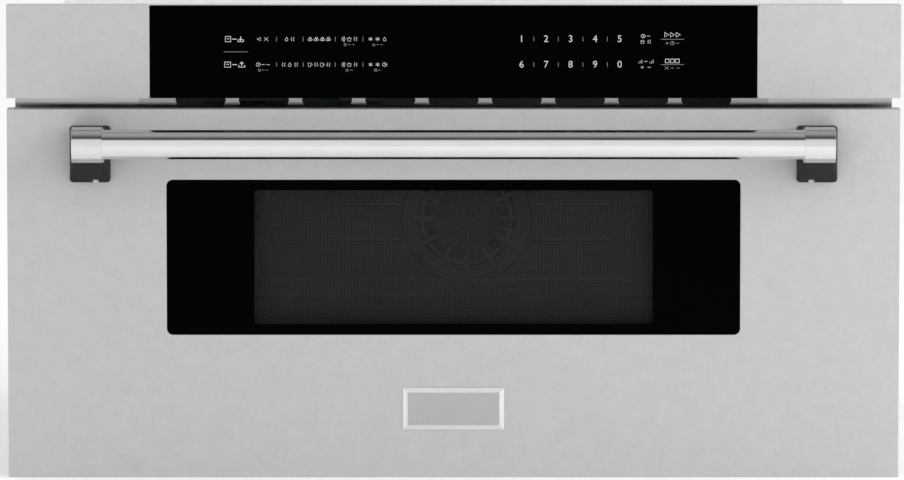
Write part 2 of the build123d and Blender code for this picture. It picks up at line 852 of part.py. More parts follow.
def stirrer():
    """Bladed metal stirrer and its drive shaft, which hang under the ceiling."""
    blade_z = (stirrer_blade_z, stirrer_blade_z + stirrer_sheet)
    wheel = rod_z(0, stirrer_y, blade_z, stirrer_blade_width)
    for blade in range(stirrer_blades):
        turn = 360 / stirrer_blades * (blade + 0.5)
        arm = block((0, stirrer_radius), (-stirrer_blade_width / 2, stirrer_blade_width / 2), blade_z)
        wheel = wheel + Pos(0, stirrer_y, 0) * Rot(0, 0, turn) * arm
    shaft_top = waveguide_top + motor_bore_depth - shaft_end_gap
    return wheel + rod_z(0, stirrer_y, (stirrer_blade_z, shaft_top), stirrer_shaft_radius)


def stirrer_motor():
    """Small synchronous motor on top of the waveguide."""
    low = waveguide_top
    can = rod_z(0, stirrer_y, (low, low + stirrer_motor_height), stirrer_motor_radius)
    ear_x = stirrer_motor_radius + stirrer_motor_ear
    ears = standing_box(2 * ear_x, stirrer_motor_ear_width, (low, low + stirrer_sheet))
    tag_z = (low + stirrer_motor_height - motor_tag_height, low + stirrer_motor_height)
    tag_y = (stirrer_y, stirrer_y + motor_tag_reach)
    tag = block((-motor_tag_width / 2, motor_tag_width / 2), tag_y, tag_z)
    bore = rod_z(0, stirrer_y, (low - 1, low + motor_bore_depth), stirrer_shaft_radius + shaft_clearance)
    return can + ears + tag - bore


def magnetron():
    """Magnetron under the waveguide's end: frame, fins, core and antenna."""
    x = (bay_middle - magnetron_width / 2, bay_middle + magnetron_width / 2)
    y = (stirrer_y - magnetron_depth / 2, stirrer_y + magnetron_depth / 2)
    z = (ceiling_z - magnetron_height, ceiling_z)
    sheet = magnetron_sheet
    frame = block(x, y, z) - block((x[0] + sheet, x[1] - sheet), (y[0] - 1, y[1] + 1), (z[0] + sheet, z[1] - sheet))
    body = frame + rod_z(bay_middle, stirrer_y, (z[0] - magnetron_core_below, z[1]), magnetron_core)
    body = body + rod_z(bay_middle, stirrer_y, (z[1] - sheet, z[1] + antenna_height), antenna_radius)
    fin_y = (y[0] + magnetron_fin_inset, y[1] - magnetron_fin_inset)
    for fin in range(magnetron_fins):
        fin_z = z[0] + magnetron_fin_low + fin * magnetron_fin_pitch
        body = body + block((x[0] + sheet / 2, x[1] - sheet / 2), fin_y, (fin_z, fin_z + magnetron_fin_sheet))
    return body


def cooling_shroud():
    """Fan plate on the right shelf, with its ring, the motor's bar and the motor."""
    y = cooling_fan_y
    plate_x = (bay_middle - cooling_plate_half, bay_middle + cooling_plate_half)
    plate = block(plate_x, (y, y + cooling_ring_sheet), (shelf_top, cooling_fan_z + cooling_plate_half))
    ring_radius = cooling_duct_radius + cooling_ring_sheet
    ring = rod_y(bay_middle, (y - cooling_ring_depth, y + cooling_ring_sheet), cooling_fan_z, ring_radius)
    duct_y = (y - cooling_ring_depth - 1, y + cooling_ring_sheet + 1)
    duct = rod_y(bay_middle, duct_y, cooling_fan_z, cooling_duct_radius)
    brace_y = (y + cooling_ring_sheet, y + cooling_ring_sheet + cooling_bar_sheet)
    brace = block(plate_x, brace_y, (cooling_fan_z - cooling_bar / 2, cooling_fan_z + cooling_bar / 2))
    bore = rod_y(bay_middle, (y, y + cooling_bore_depth), cooling_fan_z, stirrer_shaft_radius + shaft_clearance)
    motor = rod_y(bay_middle, (brace_y[1], brace_y[1] + cooling_motor_length), cooling_fan_z, cooling_motor_radius)
    return apart([plate + ring - duct + brace - bore, motor - bore])


def cooling_fan():
    """Axial fan wheel and shaft that blow through the magnetron."""
    y = cooling_fan_y - cooling_fan_inset
    hub_y = (y - cooling_hub_width / 2, y + cooling_hub_width / 2)
    wheel = rod_y(bay_middle, hub_y, cooling_fan_z, cooling_hub_radius)
    vane_reach = cooling_fan_radius - cooling_hub_radius + 2 * vane_sheet
    for number in range(cooling_vanes):
        vane = Box(cooling_vane_width, vane_sheet, vane_reach)
        vane = Pos(0, 0, cooling_fan_radius - vane_reach / 2) * Rot(0, 0, cooling_vane_angle) * vane
        wheel = wheel + Pos(bay_middle, y, cooling_fan_z) * Rot(0, 360 / cooling_vanes * number, 0) * vane
    shaft_end = cooling_fan_y + cooling_bore_depth - shaft_end_gap / 2
    return wheel + rod_y(bay_middle, (y, shaft_end), cooling_fan_z, stirrer_shaft_radius)


def circulation_fan():
    """Radial fan wheel and shaft behind the cavity's rear wall."""
    start = circulation_end - circulation_width
    wheel = rod_y(guard_x, (circulation_end - vane_sheet, circulation_end), guard_z, circulation_radius)
    middle = (start + circulation_end) / 2
    for number in range(circulation_vanes):
        vane = Box(vane_sheet, circulation_width, circulation_vane)
        vane = Pos(0, 0, circulation_radius - circulation_vane / 2) * vane
        wheel = wheel + Pos(guard_x, middle, guard_z) * Rot(0, 360 / circulation_vanes * number, 0) * vane
    shaft_end = drum_back + fan_motor_bore - shaft_end_gap
    return wheel + rod_y(guard_x, (middle, shaft_end), guard_z, stirrer_shaft_radius)


def fan_motor():
    """Drum round the circulation fan, and the motor on its back."""
    drum = rod_y(guard_x, (rear_wall_back, drum_back), guard_z, drum_radius)
    flange = (rear_wall_back, rear_wall_back + drum_sheet)
    drum = drum + rod_y(guard_x, flange, guard_z, drum_radius + drum_rim)
    drum = drum - rod_y(guard_x, (rear_wall_back - 1, drum_back - drum_sheet), guard_z, drum_radius - drum_sheet)
    drum = drum - rod_y(guard_x, (rear_wall_back, drum_back + 1), guard_z, stirrer_shaft_room)
    motor = rod_y(guard_x, (drum_back, drum_back + fan_motor_length), guard_z, fan_motor_radius)
    bore_y = (drum_back - 1, drum_back + fan_motor_bore)
    motor = motor - rod_y(guard_x, bore_y, guard_z, stirrer_shaft_radius + shaft_clearance)
    return apart([drum, motor])


def transformer():
    """High-voltage transformer on the left shelf: laminated core and two windings in its windows."""
    x = (-bay_middle - transformer_width / 2, -bay_middle + transformer_width / 2)
    y = (transformer_front, transformer_front + transformer_length)
    core = block(x, y, (shelf_top, shelf_top + transformer_height))
    window_z = (shelf_top + transformer_leg, shelf_top + transformer_leg + winding_height)
    starts = (y[0] + transformer_leg, y[1] - transformer_leg - winding_length)
    windings = []
    for start in starts:
        window_y = (start, start + winding_length)
        core = core - block((x[0] - 1, x[1] + 1), window_y, window_z)
        windings.append(block((x[0] - winding_overhang, x[1] + winding_overhang), window_y, window_z))
    return apart([core] + windings)


def capacitor():
    """Oval high-voltage capacitor on the left shelf, with two terminals."""
    x = -bay_middle
    top = shelf_top + capacitor_height
    can = Pos(x, capacitor_y, shelf_top) * extrude(SlotOverall(capacitor_length, capacitor_width), capacitor_height)
    tag_y = (capacitor_y - capacitor_tag_sheet / 2, capacitor_y + capacitor_tag_sheet / 2)
    for side in (-1, 1):
        middle = x + side * capacitor_tag_offset
        tag_x = (middle - capacitor_tag / 2, middle + capacitor_tag / 2)
        can = can + block(tag_x, tag_y, (top, top + capacitor_tag_height))
    return can


def oven_lamp():
    """Lamp housing and bulb outside the cavity's left wall."""
    face = -cavity_side
    sheet = lamp_sheet
    y = (lamp_y - lamp_box / 2, lamp_y + lamp_box / 2)
    z = (lamp_z - lamp_box / 2, lamp_z + lamp_box / 2)
    housing = block((face - lamp_box_depth, face), y, z)
    inner_x = (face - lamp_box_depth + sheet, face + 1)
    housing = housing - block(inner_x, (y[0] + sheet, y[1] - sheet), (z[0] + sheet, z[1] - sheet))
    bulb = rod_x((inner_x[0], face - lamp_bulb_gap), lamp_y, lamp_z, lamp_bulb_radius)
    return apart([housing, bulb])


def power_board():
    """Relay and supply board on the cavity's ceiling: board, stand-offs, relays and a heat sink."""
    x = (board_edge_gap - half_cavity, board_edge_gap - half_cavity + board_width)
    y = (board_front, board_front + board_length)
    board_z = ceiling_z + board_lift
    board_top = board_z + board_sheet
    board = block(x, y, (board_z, board_top))
    for foot_x in (x[0] + board_foot_inset, x[1] - board_foot_inset):
        for foot_y in (y[0] + board_foot_inset, y[1] - board_foot_inset):
            board = board + rod_z(foot_x, foot_y, (ceiling_z, board_top), board_foot_radius)
    relay_x = (x[0] + relay_inset, x[0] + relay_inset + relay_width)
    for row in range(relay_rows):
        relay_y = y[0] + 2 * relay_inset + row * relay_pitch
        board = board + block(relay_x, (relay_y, relay_y + relay_length), (board_z, board_top + relay_height))
    sink_x = (x[1] - relay_inset - sink_width, x[1] - relay_inset)
    sink_y = (y[0] + 2 * relay_inset, y[0] + 2 * relay_inset + sink_length)
    sink_top = board_top + sink_height
    board = board + block(sink_x, sink_y, (board_z, sink_top))
    slot_pitch = sink_length / sink_slots
    for slot in range(sink_slots):
        slot_y = sink_y[0] + (slot + 0.5) * slot_pitch - sink_slot / 2
        slot_x = (sink_x[0] + sink_base, sink_x[1] + 1)
        board = board - block(slot_x, (slot_y, slot_y + sink_slot), (board_top + sink_base, sink_top + 1))
    return board


# ---- Control panel
def control_housing():
    """Folded steel box behind the control glass and the end panels, open at the front."""
    sheet = skin_sheet
    box = block((-half_liner, half_liner), (housing_front, frame_front), (housing_low, housing_high))
    box = box - block(
        (-half_liner + sheet, half_liner - sheet), (housing_front - 1, frame_front - sheet),
        (housing_low + sheet, housing_high - sheet),
    )
    return box - wiring_window((frame_front - 2 * sheet, frame_front + 1))


def end_panel(side):
    """Stainless cover at one end of the control panel, with its edges turned back."""
    near = glass_half + panel_joint
    width = half_front - near
    x = side * (half_front + near) / 2
    face = front_plate(width, panel_height, 0, x, (front_face, return_end), panel_z)
    inner_edges = face.edges().filter_by(Axis.Y).sort_by(lambda e: abs(e.center().X))[:2]
    face = fillet(inner_edges, end_panel_corner)
    hollow = block(
        side_span(side, near + skin_sheet, half_front - skin_sheet), (skin_back, return_end + 1),
        (panel_low + skin_sheet, panel_high - skin_sheet),
    )
    shell = face - hollow
    seat = block(side_span(side, 0, half_liner), (housing_front, return_end + 1), (housing_low, housing_high))
    return shell - seat


def control_glass():
    """Black touch glass in the middle of the control panel, with slightly eased edges."""
    glass = front_plate(2 * glass_half, panel_height, 0, 0, (front_face, housing_front), panel_z)
    front_edges = glass.faces().sort_by(Axis.Y)[0].edges()
    return chamfer(front_edges, control_glass_bevel)


def vent_strip():
    """Slotted strip between the door and the control panel."""
    half = vent_half_span + vent_strip_end
    strip = block((-half, half), (strip_front, frame_front), (door_high - vent_strip_rim, housing_low))
    through = (strip_front - 1, frame_front + 1)
    slot_z = door_high + vent_slot_height / 2
    for slot in range(vent_slots):
        x = (slot - (vent_slots - 1) / 2) * vent_slot_pitch
        strip = strip - hex_slot(x, through, slot_z, vent_slot_length, vent_slot_height, vent_slot_lean)
    return strip


# ---- Door
def door_skin():
    """Brushed stainless front of the drawer, folded back on all four sides and hemmed in behind."""
    z = (door_low + door_high) / 2
    shell = front_plate(front_width, door_height, 0, 0, (front_face, return_end), z)
    front_edges = shell.faces().sort_by(Axis.Y)[0].edges()
    shell = fillet(front_edges, skin_sheet / 2)
    shell = shell - front_plate(
        front_width - 2 * skin_sheet, door_height - 2 * skin_sheet, 0, 0, (skin_back, return_end - skin_sheet), z
    )
    behind = (return_end - 2 * skin_sheet, return_end + 1)
    shell = shell - front_plate(2 * half_liner, liner_high - liner_low, 0, 0, behind, z)
    window = front_plate(
        window_width + 2 * window_gap, window_height + 2 * window_gap, window_corner + window_gap,
        0, (front_face - 1, skin_back + 1), window_z,
    )
    return shell - window


def door_frame():
    """Inner pan of the door: back plate and walls, with slots for slides, rack and hook."""
    z = (liner_low + liner_high) / 2
    size = 2 * half_liner, liner_high - liner_low
    hollow = size[0] - 2 * liner_sheet, size[1] - 2 * liner_sheet
    pan = front_plate(size[0], size[1], 0, 0, (skin_back, door_back), z)
    pan = pan - front_plate(hollow[0], hollow[1], 0, 0, (skin_back - 1, liner_face), z)
    through = (liner_face - 1, door_back + 1)
    pan = pan - front_plate(choke_outer_width, choke_outer_height, 0, 0, through, choke_mid_z)
    slide_half = half_inner + pass_clearance
    for side in (-1, 1):
        slide_x = side_span(side, slide_inner_x - pass_clearance, slide_outer_x)
        pan = pan - block(slide_x, through, (slide_z - slide_half, slide_z + slide_half))
    rack_half = rack_width / 2 + pass_clearance
    pan = pan - block((-rack_half, rack_half), through, (rack_base - pass_clearance, rack_tip_z + pass_clearance))
    hook_half = hook_width / 2 + pass_clearance
    hook_high = hook_height / 2 + pass_clearance
    return pan - block((hook_x - hook_half, hook_x + hook_half), through, (hook_z - hook_high, hook_z + hook_high))


def window_glass():
    """Outer pane of the window, flush with the skin."""
    pane = front_plate(
        window_width, window_height, window_corner, 0, (front_face, glass_back), window_z
    )
    front_edges = pane.faces().sort_by(Axis.Y)[0].edges()
    return chamfer(front_edges, window_bevel)


def window_mask():
    """Black frame that holds the pane to the back of the skin and leaves the clear view."""
    outer = window_width + 2 * mask_overlap, window_height + 2 * mask_overlap
    plate = upright_ring(outer, (view_width, view_height), 0, (glass_back, mask_back), window_z)
    seat = window_width + 2 * window_gap, window_height + 2 * window_gap
    rim = upright_ring(outer, seat, 0, (skin_back, mask_back), window_z)
    return plate + rim


def door_screen():
    """Perforated metal screen behind the window, drawn with coarse holes."""
    z = choke_mid_z
    screen = front_plate(choke_outer_width, choke_outer_height, 0, 0, (screen_front, screen_back), z)
    columns = int(view_width / screen_hole_pitch) - 1
    rows = int(view_height / screen_hole_pitch) - 1
    for column in range(columns):
        for row in range(rows):
            x = (column - (columns - 1) / 2) * screen_hole_pitch
            hole_z = window_z + (row - (rows - 1) / 2) * screen_hole_pitch
            screen = screen - rod_y(x, (screen_front - 1, screen_back + 1), hole_z, screen_hole_radius)
    return screen


def choke_frame():
    """Slotted channel round the door's opening that keeps the microwaves in."""
    inner = choke_inner_width, choke_inner_height
    outer = choke_outer_width, choke_outer_height
    y = (screen_back, liner_face)
    sheet = choke_sheet
    web = upright_ring(outer, inner, 0, (y[0], y[0] + sheet), choke_mid_z)
    inner_wall = upright_ring((inner[0] + 2 * sheet, inner[1] + 2 * sheet), inner, 0, y, choke_mid_z)
    outer_wall = upright_ring(outer, (outer[0] - 2 * sheet, outer[1] - 2 * sheet), 0, y, choke_mid_z)
    rim = outer[0] + 2 * choke_flange, outer[1] + 2 * choke_flange
    flange = upright_ring(rim, (outer[0] - 2 * sheet, outer[1] - 2 * sheet), 0, (y[1] - sheet, y[1]), choke_mid_z)
    frame = web + inner_wall + outer_wall + flange
    comb_y = (y[0] + 3 * sheet, y[1] - 5 * sheet)
    for slot in range(int((outer[0] - 2 * choke_width) / choke_slot_pitch)):
        x = -outer[0] / 2 + choke_width + (slot + 0.5) * choke_slot_pitch
        for side in (-1, 1):
            wall_z = choke_mid_z + side * (outer[1] / 2 - sheet / 2)
            comb = block((x, x + choke_slot), comb_y, (wall_z - sheet, wall_z + sheet))
            frame = frame - comb
    return frame


def choke_cover():
    """Black plastic ring that closes the choke's channel."""
    gap = choke_cover_gap
    sheet = choke_sheet
    outer = choke_outer_width - 2 * (sheet + gap), choke_outer_height - 2 * (sheet + gap)
    inner = choke_inner_width + 2 * (sheet + gap), choke_inner_height + 2 * (sheet + gap)
    return upright_ring(outer, inner, 0, (door_back - choke_cover_sheet, door_back), choke_mid_z)


def badge_plate():
    """Bare bevelled plate low on the door."""
    z = door_low + badge_low + badge_height / 2
    edge_y = front_face - badge_edge
    face_y = front_face - badge_thickness
    slab = front_plate(badge_width, badge_height, 0, 0, (edge_y, front_face), z)
    back = Pos(0, edge_y, z) * Rot(90, 0, 0) * Rectangle(badge_width, badge_height)
    flat = Rectangle(badge_width - 2 * badge_bevel, badge_height - 2 * badge_bevel)
    return slab + loft([back.face(), (Pos(0, face_y, z) * Rot(90, 0, 0) * flat).face()])


# ---- Handle
def handle_bar():
    """Round stainless bar between the two posts."""
    return rod_x((-bar_half_length, bar_half_length), bar_y, handle_z, handle_bar_radius)


def handle_post(side):
    """Flared bracket: base on the door, a neck that runs smoothly into the head, and the bar's socket."""
    x = side * handle_post_x
    base = front_plate(
        handle_base_width, handle_base_height, handle_base_corner, x, (post_base_face, front_face), handle_base_z
    )
    foot = Pos(x, post_base_face, handle_base_z) * Rot(90, 0, 0)
    foot = foot * RectangleRounded(handle_base_width, handle_base_height, handle_base_corner)
    neck = Pos(x, neck_end_y, handle_z) * Rot(90, 0, 0)
    neck = neck * RectangleRounded(handle_head_width, 2 * neck_half_height, handle_base_corner)
    arm = loft([foot.face(), neck.face()])
    head_ends = (x - handle_head_width / 2, x + handle_head_width / 2)
    head = rod_x(head_ends, bar_y, handle_z, handle_head_radius)
    socket = rod_x(
        side_span(side, handle_post_x - handle_head_width, bar_half_length + handle_bar_fit),
        bar_y, handle_z, handle_bar_radius + handle_bar_fit,
    )
    post = base + arm + head - socket
    return post - set_screw_bore(side)


def set_screw_place(side):
    """Seat of the set screw in the post's sloping underside, its axis square to the slope."""
    rise = (handle_z - neck_half_height) - handle_base_low
    run = post_base_face - neck_end_y
    slope = math.atan2(rise, run)
    y = post_base_face - set_screw_up * math.cos(slope)
    z = handle_base_low + set_screw_up * math.sin(slope)
    x = side * (handle_post_x - set_screw_offset)
    return Pos(x, y, z) * Rot(180 - math.degrees(slope), 0, 0)


def set_screw_bore(side):
    """Blind hole for the set screw."""
    return set_screw_place(side) * Cylinder(set_screw_radius + handle_bar_fit, 2 * set_screw_hole)


def handle_screws():
    """Two set screws, one in the underside of each post."""
    screws = []
    for side in (-1, 1):
        screw = Pos(0, 0, set_screw_proud - set_screw_length / 2) * Cylinder(set_screw_radius, set_screw_length)
        key = extrude(RegularPolygon(set_screw_radius / 2, 6), set_screw_key + 1)
        screws.append(set_screw_place(side) * (screw - Pos(0, 0, set_screw_proud - set_screw_key) * key))
    return apart(screws)


# ---- Tray
def tray_pan():
    """Steel tray fixed to the door: floor, two walls with hems, and a low back."""
    front = screen_back
    sheet = tray_sheet
    wall_x = half_tray - sheet
    pan = [block((-half_tray, half_tray), (front, tray_back), (tray_low, tray_low + sheet))]
    for side in (-1, 1):
        pan.append(block(side_span(side, wall_x, half_tray), (front, tray_back), (tray_low, tray_high)))
        hem = side_span(side, half_tray - tray_hem, half_tray)
        pan.append(block(hem, (front, tray_back), (tray_high - tray_hem_height, tray_high)))
    back_high = tray_low + tray_back_height
    pan.append(block((-half_tray, half_tray), (tray_back - sheet, tray_back), (tray_low, back_high)))
    hem_y = (tray_back - tray_hem, tray_back)
    pan.append(block((-half_tray, half_tray), hem_y, (back_high - tray_hem, back_high)))
    return join(pan)


def tray_glass():
    """Glass floor that lies in the tray."""
    half = half_tray - tray_sheet - tray_glass_gap
    y = (tray_glass_gap, tray_back - tray_hem - tray_glass_gap)
    low = tray_low + tray_sheet
    slab = block((-half, half), y, (low, low + tray_glass_thickness))
    slab = fillet(slab.edges().filter_by(Axis.Z), tray_glass_corner)
    return chamfer(slab.faces().sort_by(Axis.Z)[-1].edges(), tray_glass_bevel)


# ---- Slides, drawn for the right side and mirrored for the left
def on_side(piece, side):
    """The piece on the right, or its mirror image on the left."""
    return piece if side > 0 else mirror(piece, about=Plane.YZ)


def channel(web, lips, half_height, y):
    """A C-shaped rail: web and lips are X ends, and the rail is centred on the slide's height."""
    low = slide_z - half_height
    high = slide_z + half_height
    rail = block(web, y, (low, high))
    rail = rail + block(lips, y, (low, low + slide_sheet))
    return rail + block(lips, y, (high - slide_sheet, high))


def slide_outer_rail():
    """Outer rail of the right slide, fixed to the shelf's web."""
    web = (slide_outer_x - slide_sheet, slide_outer_x)
    lips = (slide_inner_x, slide_outer_x)
    return channel(web, lips, half_outer, (slide_front, slide_back))


def slide_outers():
    """Both outer rails."""
    return apart([on_side(slide_outer_rail(), -1), slide_outer_rail()])


def slide_middle(side):
    """Middle rail, which carries the inner rail out with it at half speed."""
    web_x = slide_outer_x - middle_web_offset
    rail = channel((web_x - slide_sheet, web_x), (slide_inner_x, web_x), half_middle, (slide_front, slide_back))
    return on_side(rail, side)


def slide_inner(side):
    """Inner rail, which runs on into the door."""
    web = (slide_inner_x, slide_inner_x + slide_sheet)
    lips = (slide_inner_x, slide_inner_x + inner_rail_depth)
    return on_side(channel(web, lips, half_inner, (-slide_nose, slide_back)), side)


def ball_cage(web_x, ball_z):
    """Retainer of one ball race: a thin web, an arm above and below, and its balls."""
    y = (cage_front, cage_front + cage_length)
    web_z = (slide_z - ball_z - cage_arm / 2, slide_z + ball_z + cage_arm / 2)
    cage = block((web_x - cage_sheet, web_x), y, web_z)
    ball_x = (slide_inner_x + web_x) / 2
    balls = []
    for side in (-1, 1):
        arm_z = slide_z + side * ball_z
        arm_x = (ball_x - cage_arm_reach, web_x)
        cage = cage + block(arm_x, y, (arm_z - cage_arm / 2, arm_z + cage_arm / 2))
        for ball in range(cage_balls):
            ball_y = cage_front + (ball + 0.5) * cage_length / cage_balls
            pocket = rod_z(ball_x, ball_y, (arm_z - cage_arm, arm_z + cage_arm), ball_radius + ball_pocket_play)
            cage = cage - pocket
            balls.append(Pos(ball_x, ball_y, arm_z) * Sphere(ball_radius))
    return [cage] + balls


def cages(web_x, ball_z):
    """The same cage on both sides."""
    right = ball_cage(web_x, ball_z)
    return apart(right + [on_side(piece, -1) for piece in right])


def ball_cages_outer():
    """Cages between the outer and middle rails."""
    return cages(slide_outer_x - slide_sheet - cage_play, outer_ball_z)


def ball_cages_inner():
    """Cages between the middle and inner rails."""
    return cages(slide_outer_x - middle_web_offset - slide_sheet - cage_play, inner_ball_z)


def door_angles():
    """Angle brackets inside the door that hold the inner rails."""
    angles = []
    z = (slide_z - half_inner, slide_z + half_inner)
    for side in (-1, 1):
        leg = block(side_span(side, slide_inner_x - angle_sheet, slide_inner_x), (-slide_nose, liner_face), z)
        foot_x = side_span(side, slide_inner_x - angle_foot, slide_inner_x)
        angles.append(leg + block(foot_x, (liner_face - angle_sheet, liner_face), z))
    return apart(angles)


# ---- Rack and pinion
def rack_teeth_outline():
    """Side view of the rack: its teeth point up and a gap lies under the pinion's centre."""
    pitch = math.pi * gear_module
    lean = math.tan(math.radians(gear_pressure))
    tip = gear_addendum * gear_module
    root = gear_dedendum * gear_module
    half_tooth = pitch / 4 - gear_backlash / 2
    count_front = int((pinion_y - liner_face) / pitch) - 1
    count_back = int((rack_end - pinion_y) / pitch) - 1
    points = [(liner_face, 0), (liner_face, rack_body - root)]
    for tooth in range(-count_front, count_back):
        middle = pinion_y + (tooth + 0.5) * pitch
        points.append((middle - half_tooth - root * lean, rack_body - root))
        points.append((middle - half_tooth + tip * lean, rack_body + tip))
        points.append((middle + half_tooth - tip * lean, rack_body + tip))
        points.append((middle + half_tooth + root * lean, rack_body - root))
    points.append((rack_end, rack_body - root))
    points.append((rack_end, 0))
    return make_face(Polyline(*points, close=True))


def rack():
    """Toothed rail under the tray, with a head that holds it in the door."""
    bar = Pos(-rack_width / 2, 0, rack_base) * extrude(Plane.YZ * rack_teeth_outline(), rack_width)
    head_x = (-rack_head_width / 2, rack_head_width / 2)
    head_y = (liner_face - rack_head_sheet, liner_face)
    return bar + block(head_x, head_y, (rack_base, rack_pitch_z + rack_head_rise))


def gear_outline():
    """Side view of the pinion, with involute flanks and a tooth pointing straight down."""
    base = pinion_radius * math.cos(math.radians(gear_pressure))
    outer = pinion_radius + gear_addendum * gear_module
    inner = pinion_radius - gear_dedendum * gear_module

    def involute(radius):
        """Angle of the flank at a radius, from where the flank starts."""
        if radius <= base:
            return 0.0
        pressure = math.acos(base / radius)
        return math.tan(pressure) - pressure

    half_angle = (math.pi * gear_module / 2 - gear_backlash) / 2 / pinion_radius
    flank_radii = [inner]
    steps = 5
    start = max(base, inner)
    for step in range(steps + 1):
        flank_radii.append(start + (outer - start) * step / steps)
    points = []
    for tooth in range(pinion_teeth):
        middle = -math.pi / 2 + tooth * 2 * math.pi / pinion_teeth
        rising = []
        for radius in flank_radii:
            turn = half_angle + involute(pinion_radius) - involute(radius)
            rising.append((radius, turn))
        for radius, turn in rising:
            points.append((radius * math.cos(middle - turn), radius * math.sin(middle - turn)))
        for radius, turn in reversed(rising):
            points.append((radius * math.cos(middle + turn), radius * math.sin(middle + turn)))
    return make_face(Polyline(*points, close=True))


def pinion():
    """Drive pinion and its shaft, which runs into the gearbox."""
    wheel = Pos(-pinion_width / 2, pinion_y, pinion_z) * extrude(Plane.YZ * gear_outline(), pinion_width)
    shaft_ends = (-pinion_width / 2 - drive_sheet, pinion_width / 2 + shaft_reach)
    return wheel + rod_x(shaft_ends, pinion_y, pinion_z, drive_shaft_radius)


def drive_bracket():
    """Channel that guides the rack along the floor, with an ear that carries the motor."""
    half = rack_width / 2 + rack_side_play
    sheet = drive_sheet
    y = (rack_guide_front, rack_end + rack_guide_overrun)
    floor_z = (base_sheet, rack_base - rack_floor_play)
    bracket = [block((-half - sheet, half + sheet), y, floor_z)]
    for side in (-1, 1):
        wall_z = (base_sheet, rack_pitch_z - rack_guide_below_pitch)
        bracket.append(block(side_span(side, half, half + sheet), y, wall_z))
    ear_x = (motor_face - sheet, motor_face)
    ear_y = (pinion_y - gearbox_front - drive_ear_rim, pinion_y + gearbox_back + drive_ear_rim)
    bracket.append(block(ear_x, ear_y, (base_sheet, pinion_z + gearbox_half_height + drive_ear_rim)))
    bracket.append(block((half, motor_face), ear_y, floor_z))
    shaft_hole = rod_x((ear_x[0] - 1, ear_x[1] + 1), pinion_y, pinion_z, drive_shaft_radius + shaft_room)
    return join(bracket) - shaft_hole


def drawer_motor():
    """Gearbox on the bracket's ear and the motor on the gearbox."""
    box_y = (pinion_y - gearbox_front, pinion_y + gearbox_back)
    box_z = (pinion_z - gearbox_half_height, pinion_z + gearbox_half_height)
    can_x = motor_face + gearbox_width
    neck_x = can_x + drive_motor_length
    motor_y = (box_y[0] + box_y[1]) / 2
    gearbox = block((motor_face, can_x), box_y, box_z)
    can = rod_x((can_x, neck_x), motor_y, pinion_z, drive_motor_radius)
    neck = rod_x((neck_x, neck_x + drive_neck_length), motor_y, pinion_z, drive_neck_radius)
    bore_end = pinion_width / 2 + shaft_reach + shaft_clearance
    bore = rod_x((motor_face - 1, bore_end), pinion_y, pinion_z, drive_shaft_radius + shaft_clearance)
    return gearbox + can + neck - bore


# ---- Door interlock
def interlock_hook():
    """Flat hook on the door that works the switch when the drawer is shut."""
    x = (hook_x - hook_width / 2, hook_x + hook_width / 2)
    z = (hook_z - hook_height / 2, hook_z + hook_height / 2)
    foot_y = (liner_face - hook_foot_sheet, liner_face)
    blade = block(x, (foot_y[0], hook_reach), z)
    notch_end = hook_reach - hook_notch_end
    blade = blade - block((x[0] - 1, x[1] + 1), (notch_end - hook_notch, notch_end), (hook_z, z[1] + 1))
    return blade + block((x[0] - hook_foot, x[1] + hook_foot), foot_y, z)


def interlock_switch():
    """Switch body on a bracket from the cavity's wall, bored for its plunger."""
    front = switch_y + plunger_proud
    y = (front, front + switch_length)
    low = hook_z - switch_height / 2
    outer_x = hook_x + switch_width / 2
    body = block((outer_x - switch_width, outer_x), y, (low, low + switch_height))
    body = body - rod_y(hook_x, (front - 1, front + plunger_bore), hook_z, plunger_radius + shaft_clearance)
    sheet = switch_bracket_sheet
    shelf = block((cavity_side, outer_x), y, (low - sheet, low))
    fold = block((cavity_side, cavity_side + sheet), y, (low - switch_bracket_drop, low))
    return apart([body, shelf + fold])


def switch_plunger():
    """Sprung plunger that the hook pushes in."""
    end = switch_y + plunger_proud + plunger_bore - plunger_room
    return rod_y(hook_x, (switch_y, end), hook_z, plunger_radius)


